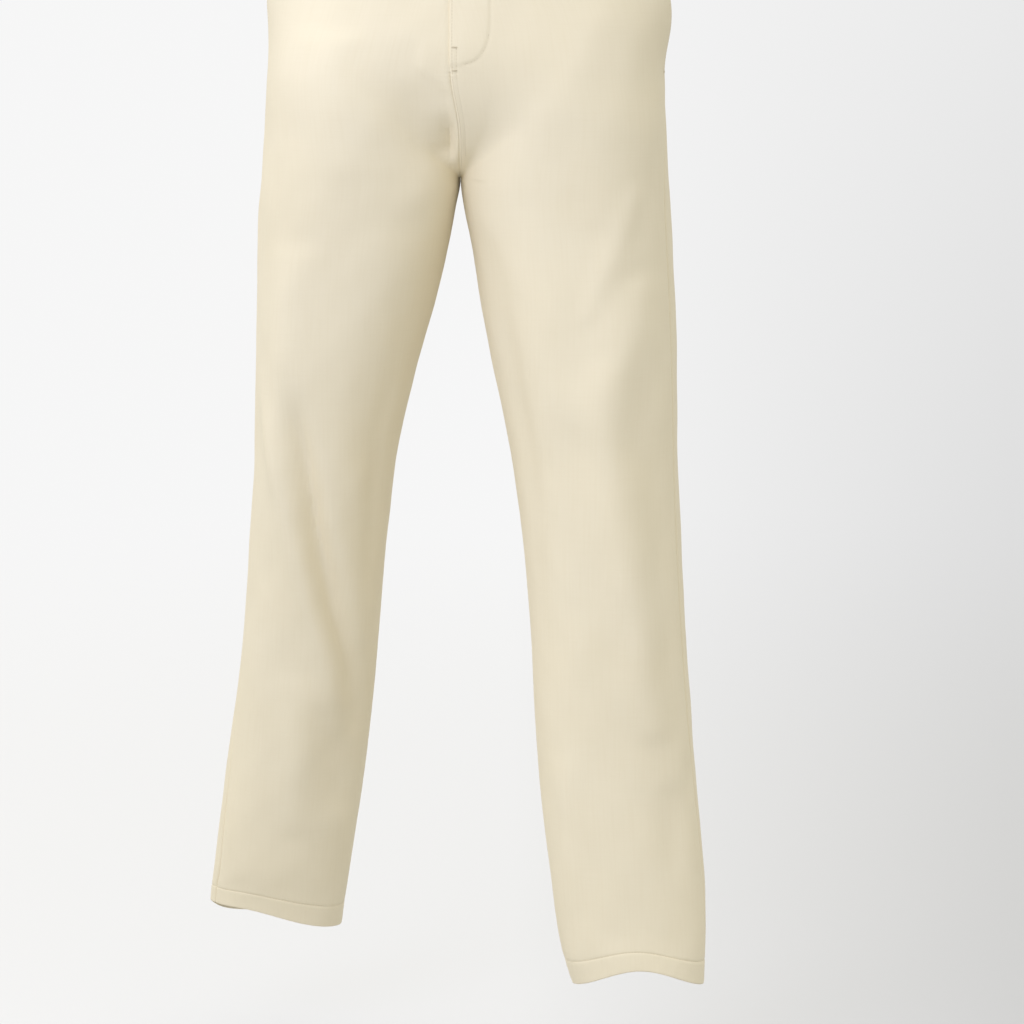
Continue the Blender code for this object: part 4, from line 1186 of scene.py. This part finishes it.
def hem_stitches(bm):
    """One row round each hem, holding the turn-up."""
    for side in (LEFT, RIGHT):
        height = HEM[side] + HEM_DEPTH
        for face in (FRONT, BACK):
            start, end = panel_edges(side, height, face)
            spots = [(height, place) for place in np.linspace(start + face * 0.8, end - face * 0.8, 70)]
            sew(bm, *panel_line(side, face, spots))


def band_line(side, shares, height, out):
    points, normals = [], []
    for share in shares:
        face = FRONT if share >= 0 else BACK
        place = np.array((float(share) * ring_end(side, height, face),))
        at = skin(side, height, place)
        normal = outward(side, height, place, at)
        points.append((at + normal * out)[0])
        normals.append(normal[0])
    return points, normals


def waistband_stitches(bm):
    """Edge stitching along the top and foot of the band."""
    for side in (LEFT, RIGHT):
        for height in (-2.0, -BAND_DEPTH + 2.0):
            last = 0.995 if side == LEFT else 0.985
            shares = np.linspace(-0.998, last, 120)
            points, normals = band_line(side, shares, height, BAND_PROUD - 0.18)
            if side == RIGHT:
                tuck = band_tuck((shares - 1) * ring_end(side, height, FRONT))
                points = [point - normal * drop for point, normal, drop in zip(points, normals, tuck)]
            sew(bm, points, normals)
    end = 1 - 2.0 / ring_end(LEFT, -BAND_DEPTH / 2, FRONT)
    points, normals = [], []
    for height in np.arange(-BAND_DEPTH + 3.0, -2.5, 2.0):
        at, out = band_line(LEFT, (end,), float(height), BAND_PROUD + 0.05)
        points += at
        normals += out
    sew(bm, points, normals)


BUTTONHOLE_START, BUTTONHOLE_END, BUTTONHOLE_REACH = 4.5, 19.0, 1.5


def buttonhole_stitches(bm):
    """Close stitches round the slot in the left band end, which the button covers in part."""
    half, height, reach = ring_end(LEFT, -BAND_DEPTH / 2, FRONT), -BAND_DEPTH / 2, BUTTONHOLE_REACH

    def stitch(spots, width):
        """A stitch between two spots, each a distance from the band's end and a height."""
        lines = [band_line(LEFT, (1 - from_end / half,), at, BAND_PROUD + 0.12) for from_end, at in spots]
        thread_between(bm, lines[0][0][0], lines[1][0][0], lines[0][1][0], reach, width, 0.4)

    for from_edge in np.arange(BUTTONHOLE_START, BUTTONHOLE_END, 0.55):
        for up in (-1, 1):
            stitch([(from_edge, height + up * drop) for drop in (0.3, reach + 0.3)], 0.5)
    for turn in np.linspace(-80, 80, 9):
        angle = math.radians(turn)
        stitch([(BUTTONHOLE_START - out * math.cos(angle), height + out * math.sin(angle))
                for out in (0.4, reach + 0.4)], 0.45)


def belt_loop_stitches(bm, loops):
    """Two rows down each belt loop and a bar tack at each end."""
    for outer, flat in loops:
        normals = np.repeat(flat[None, :], len(outer), axis=0)
        for column in (4, 12):
            sew(bm, outer[3:-3, column] + normals[3:-3] * 0.12, normals[3:-3])
        for row in (2, len(outer) - 3):
            across = outer[row, -1] - outer[row, 0]
            for share in np.linspace(0.12, 0.88, 17):
                centre = outer[row, 0] + across * share + flat * 0.25
                up = outer[row + 1, 8] - outer[row - 1, 8]
                thread_bit(bm, centre * MM, up, flat, 1.7, 0.5, 0.5)


def back_pocket_stitches(bm):
    """A row round each back welt."""
    for side in (LEFT, RIGHT):
        low, high = WELT_TOP - WELT_DEPTH - 1.5, WELT_TOP + 1.5

        def place_at(height, share):
            return -(ring_end(side, height, BACK) - WELT_FROM_CENTRE) + share

        for height in (low, high):
            spots = [(height, place_at(height, share)) for share in np.linspace(-1.5, WELT_LENGTH + 1.5, 50)]
            sew(bm, *panel_line(side, BACK, spots, 0.15))
        for share in (-1.5, WELT_LENGTH + 1.5):
            spots = [(height, place_at(float(height), share)) for height in np.linspace(low, high, 6)]
            sew(bm, *panel_line(side, BACK, spots, 0.15))


# ---------------------------------------------------------------- materials

class Value:
    """A socket in a material's nodes; arithmetic on it adds Math nodes."""

    def __init__(self, look, socket):
        self.look, self.socket = look, socket

    def math(self, operation, *others):
        return self.look.node("ShaderNodeMath", {"operation": operation}, self, *others).out()

    def __add__(self, other):
        return self.math("ADD", other)

    __radd__ = __add__

    def __sub__(self, other):
        return self.math("SUBTRACT", other)

    def __rsub__(self, other):
        return self.look.node("ShaderNodeMath", {"operation": "SUBTRACT"}, other, self).out()

    def __mul__(self, other):
        return self.math("MULTIPLY", other)

    __rmul__ = __mul__

    def __pow__(self, other):
        return self.math("POWER", other)

    def sine(self):
        return self.math("SINE")

    def clamp(self, low=0.0, high=1.0):
        return self.math("MAXIMUM", low).math("MINIMUM", high)


class Made:
    """A node that has been placed, whose outputs are read by name or number."""

    def __init__(self, look, node):
        self.look, self.node = look, node

    def out(self, name=0):
        return Value(self.look, self.node.outputs[name])


class Look:
    """A procedural finish: a principled surface whose constants are set on its own sockets."""

    def __init__(self, name, colour, roughness, **constants):
        self.material = bpy.data.materials.new(name)
        self.material.use_nodes = True
        self.nodes, self.links = self.material.node_tree.nodes, self.material.node_tree.links
        self.shader = self.nodes["Principled BSDF"]
        self.shader.inputs["Base Color"].default_value = (*colour, 1.0)
        self.shader.inputs["Roughness"].default_value = roughness
        for socket, value in constants.items():
            self.shader.inputs[socket.replace("_", " ")].default_value = value
        self.material.diffuse_color = (*colour, 1.0)

    def node(self, kind, settings=None, *values, **named):
        made = self.nodes.new(kind)
        for name, value in (settings or {}).items():
            if name == "stops":
                self.set_stops(made, value)
            else:
                setattr(made, name, value)
        for socket, value in enumerate(values):
            self.feed(made.inputs[socket], value)
        for socket, value in named.items():
            self.feed(made.inputs[socket.replace("_", " ")], value)
        return Made(self, made)

    def set_stops(self, ramp, stops):
        elements = ramp.color_ramp.elements
        while len(elements) < len(stops):
            elements.new(0.5)
        for element, (at, colour) in zip(elements, stops):
            element.position, element.color = at, (*colour, 1.0)

    def feed(self, socket, value):
        if isinstance(value, Value):
            self.links.new(value.socket, socket)
        elif isinstance(value, tuple) and len(value) == 3 and socket.type == "RGBA":
            socket.default_value = (*value, 1.0)
        else:
            socket.default_value = value

    def surface(self, **feeds):
        for name, value in feeds.items():
            self.feed(self.shader.inputs[name.replace("_", " ")], value)

    def mix(self, factor, first, second, blend="MIX"):
        made = self.node("ShaderNodeMix", {"data_type": "RGBA", "blend_type": blend}, factor)
        self.feed(made.node.inputs[6], first)
        self.feed(made.node.inputs[7], second)
        return made.out(2)

    def object_point(self, stretch=(1.0, 1.0, 1.0)):
        point = self.node("ShaderNodeTexCoord").out("Object")
        return self.node("ShaderNodeMapping", {"vector_type": "POINT"}, Vector=point, Scale=stretch).out()

    def cloth_point(self):
        return self.node("ShaderNodeUVMap", {"uv_map": "cloth"}).out()

    def noise(self, point, scale, detail=2.0, roughness=0.5, distortion=0.0):
        return self.node(
            "ShaderNodeTexNoise", {}, Vector=point, Scale=scale, Detail=detail, Roughness=roughness,
            Distortion=distortion,
        ).out("Fac")

    def bump(self, height, strength, distance, normal=None):
        feeds = {"Height": height, "Strength": strength, "Distance": distance}
        if normal is not None:
            feeds["Normal"] = normal
        return self.node("ShaderNodeBump", {}, **feeds).out()


CREAM = (0.835, 0.762, 0.588)
CREAM_DEEP = (0.775, 0.692, 0.508)
CREAM_PALE = (0.870, 0.806, 0.652)


def weave(look, pitch, steepness):
    """Twill ribs that run up to the right across the cloth, broken by the weft; 0 low to 1 high."""
    parts = look.node("ShaderNodeSeparateXYZ", {}, look.cloth_point())
    across, up = parts.out("X"), parts.out("Y")
    turns = math.tau / pitch
    rib = (across * (turns * steepness) + up * (turns * (1 - steepness))).sine()
    weft = (up * (turns * 1.9) + across * (turns * 0.35)).sine()
    return rib * 0.36 + weft * 0.14 + 0.5


def cotton_twill():
    look = Look(
        "cream cotton twill", CREAM, 0.86, Specular_IOR_Level=0.10, Sheen_Weight=0.10, Sheen_Roughness=0.5
    )
    point = look.object_point()
    cloth = look.cloth_point()
    cloud = look.noise(point, 7.0, 3.0, 0.55)
    streak_point = look.node("ShaderNodeMapping", {}, Vector=cloth, Scale=(420.0, 16.0, 1.0)).out()
    streak = look.noise(streak_point, 1.0, 2.0, 0.5)
    slub_point = look.node("ShaderNodeMapping", {}, Vector=cloth, Scale=(24.0, 700.0, 1.0)).out()
    slub = look.noise(slub_point, 1.0, 2.0, 0.5)
    ribs = weave(look, 0.00062, 0.62)
    tone = look.mix((cloud - 0.3) * 1.2, CREAM, CREAM_PALE)
    tone = look.mix((streak - 0.42) * 0.55, tone, CREAM_DEEP)
    tone = look.mix((slub - 0.48) * 0.4, tone, CREAM_DEEP)
    # The grooves between the twill ribs are coloured darker: painted shade in the weave.
    tone = look.mix((1 - ribs) * 0.10, tone, CREAM_DEEP)
    fuzz = look.noise(point, 900.0, 2.0, 0.6)
    height = ribs * 0.7 + slub * 0.25 + fuzz * 0.25
    look.surface(
        Base_Color=tone,
        Roughness=0.80 + 0.12 * fuzz,
        Normal=look.bump(height, 0.30, 0.00012),
    )
    return look.material


def sewing_thread():
    # The thread's colour is set darker than pale thread: painted shade of the hollows the stitches sit in.
    look = Look("cream sewing thread", (0.63, 0.56, 0.41), 0.62, Specular_IOR_Level=0.4, Sheen_Weight=0.15)
    point = look.object_point()
    ply = look.noise(point, 1600.0, 2.0, 0.6)
    drift = look.noise(point, 60.0, 2.0, 0.5)
    tone = look.mix((drift - 0.3) * 0.8, (0.67, 0.60, 0.45), (0.58, 0.51, 0.37))
    look.surface(Base_Color=tone, Roughness=0.5 + 0.3 * ply, Normal=look.bump(ply, 0.4, 0.00012))
    return look.material


def tape_weave():
    look = Look("woven zip tape", (0.72, 0.64, 0.47), 0.85, Specular_IOR_Level=0.25)
    cloth = look.cloth_point()
    parts = look.node("ShaderNodeSeparateXYZ", {}, cloth)
    across, up = parts.out("X"), parts.out("Y")
    ribs = (across * (math.tau / 0.0009)).sine() * (up * (math.tau / 0.0007)).sine() * 0.5 + 0.5
    drift = look.noise(look.object_point(), 120.0, 2.0, 0.5)
    # The weave's raised threads are lighter and its hollows darker: painted shade in the hollows.
    tone = look.mix(ribs * 0.5 + drift * 0.3, (0.66, 0.58, 0.42), (0.76, 0.69, 0.52))
    look.surface(Base_Color=tone, Roughness=0.78 + 0.15 * drift, Normal=look.bump(ribs, 0.5, 0.0002))
    return look.material


def satin_brass():
    look = Look("satin brass", (0.62, 0.47, 0.24), 0.34, Metallic=1.0)
    point = look.object_point()
    wear = look.noise(point, 420.0, 3.0, 0.6)
    brushed = look.noise(look.object_point((900.0, 900.0, 90.0)), 1.0, 2.0, 0.5)
    tone = look.mix(wear, (0.56, 0.41, 0.20), (0.70, 0.55, 0.30))
    look.surface(Base_Color=tone, Roughness=0.24 + 0.22 * brushed, Normal=look.bump(brushed, 0.15, 0.00006))
    return look.material


def horn_button():
    look = Look(
        "streaked horn", (0.66, 0.56, 0.40), 0.32, Specular_IOR_Level=0.5, Coat_Weight=0.25, Coat_Roughness=0.18
    )
    streak = look.noise(look.object_point((260.0, 260.0, 60.0)), 1.0, 4.0, 0.6, 1.2)
    grain = look.noise(look.object_point((900.0, 900.0, 200.0)), 1.0, 3.0, 0.6)
    stops = ((0.32, (0.50, 0.39, 0.25)), (0.52, (0.66, 0.56, 0.40)), (0.70, (0.76, 0.67, 0.50)))
    tone = look.node("ShaderNodeValToRGB", {"stops": stops}, streak).out("Color")
    tone = look.mix(grain * 0.25, tone, (0.55, 0.44, 0.29))
    look.surface(Base_Color=tone, Roughness=0.24 + 0.2 * grain, Normal=look.bump(grain, 0.12, 0.0001))
    return look.material


# ---------------------------------------------------------------- studio

FLOOR_AT = -1.185
# The surround as the camera sees it: a pale tone, with painted shade that darkens it to the right and more so
# lower down.
WALL_TONE, WALL_TURN, WALL_DROP, WALL_DROP_DOWN = 0.925, 0.14, 0.11, 0.6
# The floor's colour, pale on the left and darker on the right: painted shade, like the surround's.
FLOOR_TONE_LEFT, FLOOR_SHADED_TONE_RIGHT = 0.84, 0.58
FLOOR_NEAR, FLOOR_FAR = 0.6, 4.5
FLOOR_STRENGTH = 0.27


def studio_floor():
    """A pale floor that takes the light and shadow near the trousers and fades into the surround; its colour
    darkens to the right as painted shade.
    """
    look = Look("studio floor", (0.86, 0.86, 0.86), 0.95, Specular_IOR_Level=0.0)
    parts = look.node("ShaderNodeSeparateXYZ", {}, look.object_point())
    across, depth = parts.out("X"), parts.out("Y")
    away = (across * across + depth * depth) ** 0.5
    near = 1 - ((away - FLOOR_NEAR) * (1 / (FLOOR_FAR - FLOOR_NEAR))).clamp()
    # Painted shade: the floor's colour darkens from left to right.
    share = (across * 0.6 + 0.5).clamp()
    tone = look.mix(share, (FLOOR_TONE_LEFT,) * 3, (FLOOR_SHADED_TONE_RIGHT,) * 3)
    look.surface(Base_Color=tone, Alpha=near * near * (3.0 - 2.0 * near) * FLOOR_STRENGTH)
    bm = bmesh.new()
    bmesh.ops.create_circle(bm, cap_ends=True, segments=96, radius=FLOOR_FAR)
    bmesh.ops.translate(bm, verts=bm.verts, vec=(0, 0, FLOOR_AT))
    mesh = bpy.data.meshes.new("studio_floor")
    bm.to_mesh(mesh)
    bm.free()
    mesh.materials.append(look.material)
    floor = bpy.data.objects.new("studio_floor", mesh)
    bpy.context.scene.collection.objects.link(floor)


LIGHT_FROM = Vector((-0.20, 0.0, 0.98)).normalized()
SOFT_LIGHT, SOFT_SLOPE = 0.766, 0.42
SOFT_COLOUR, KEY_COLOUR = (1.0, 0.98, 0.91), (0.95, 1.0, 1.32)
KEY_AT, KEY_AIM = Vector((-0.80, -1.40, 0.40)), Vector((0.0, 0.0, -0.35))
KEY_SIZE, KEY_POWER = 1.1, 9.3


class Surround(Look):
    """The studio all round, whose nodes are wired in the same way as a finish's."""

    def __init__(self, name):
        world = bpy.data.worlds.new(name)
        bpy.context.scene.world = world
        world.use_nodes = True
        self.nodes, self.links = world.node_tree.nodes, world.node_tree.links
        self.nodes.clear()


def studio_light():
    """A pale surround that lights from above, seen by the camera with painted shade to the right, and one soft
    lamp on the left and in front.
    """
    around = Surround("studio surround")
    direction = around.node("ShaderNodeTexCoord").out("Generated")
    parts = around.node("ShaderNodeSeparateXYZ", {}, direction)
    # Painted shade on the surround as the camera sees it: darker to the right, more so lower down.
    to_right = (parts.out("X") * (1 / WALL_TURN)).clamp()
    backdrop_painted_shade = to_right * (WALL_DROP - WALL_DROP_DOWN * parts.out("Z")).clamp(0.1, 0.28)
    seen = around.node("ShaderNodeBackground", {}, Color=(1.0, 1.0, 1.0), Strength=WALL_TONE - backdrop_painted_shade).out()
    toward = around.node(
        "ShaderNodeVectorMath", {"operation": "DOT_PRODUCT"}, direction, LIGHT_FROM
    ).out("Value")
    strength = toward * SOFT_SLOPE + SOFT_LIGHT
    lit = around.node("ShaderNodeBackground", {}, Color=SOFT_COLOUR, Strength=strength).out()
    seen_directly = around.node("ShaderNodeLightPath").out("Is Camera Ray")
    mixed = around.node("ShaderNodeMixShader", {}, seen_directly, lit, seen).out()
    around.node("ShaderNodeOutputWorld", {}, Surface=mixed)
    lamp = bpy.data.lights.new("soft key", "AREA")
    lamp.shape, lamp.size, lamp.energy, lamp.color = "DISK", KEY_SIZE, KEY_POWER, KEY_COLOUR
    key = bpy.data.objects.new("soft key", lamp)
    key.location = KEY_AT
    key.rotation_euler = (KEY_AIM - KEY_AT).to_track_quat("-Z", "Y").to_euler()
    key.visible_camera = False
    bpy.context.scene.collection.objects.link(key)


LENS, SENSOR_WIDTH, CLIP_END = 124.1, 36.0, 60.0
CAMERA_AT, CAMERA_DOWN = (0.051, -3.5, -0.138), 7.6


def camera():
    data = bpy.data.cameras.new("camera")
    data.lens, data.sensor_width, data.clip_end = LENS, SENSOR_WIDTH, CLIP_END
    made = bpy.data.objects.new("camera", data)
    made.location = CAMERA_AT
    made.rotation_euler = (math.radians(90 - CAMERA_DOWN), 0, 0)
    bpy.context.scene.collection.objects.link(made)
    bpy.context.scene.camera = made


# ---------------------------------------------------------------- making it all

def build():
    camera()
    twill, thread, tape = cotton_twill(), sewing_thread(), tape_weave()
    brass, horn = satin_brass(), horn_button()
    for side in (LEFT, RIGHT):
        for face in (FRONT, BACK):
            panel(side, face, twill)
        pocket_facing(side, twill)
        waistband(side, twill)
        back_welt(side, twill)
    fly_shield(twill)
    zip_tape(tape)
    zip_teeth(brass)
    waist_button(horn, thread)
    loops = []
    height = -BAND_DEPTH / 2
    for side in (LEFT, RIGHT):
        label = SIDE_NAMES[side]
        place = ring_end(side, height, FRONT) - FRONT_LOOP_FROM_CENTRE
        loops.append(belt_loop("belt_loop_front_" + label, side, place, twill))
        loops.append(belt_loop("belt_loop_side_" + label, side, 0.0, twill))
    loops.append(belt_loop("belt_loop_back", LEFT, -ring_end(LEFT, height, BACK), twill))
    for lay, parts in (
        (fly_stitches, ()), (bar_tacks, ()), (pocket_stitches, ()), (hem_stitches, ()),
        (waistband_stitches, ()), (buttonhole_stitches, ()), (belt_loop_stitches, (loops,)),
        (back_pocket_stitches, ()),
    ):
        bm = bmesh.new()
        lay(bm, *parts)
        finish(lay.__name__, bm, thread)
    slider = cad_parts["zip_slider"]
    slider.data.materials.clear()
    slider.data.materials.append(brass)
    studio_floor()
    studio_light()
    bpy.context.scene.view_settings.view_transform = "Standard"


build()
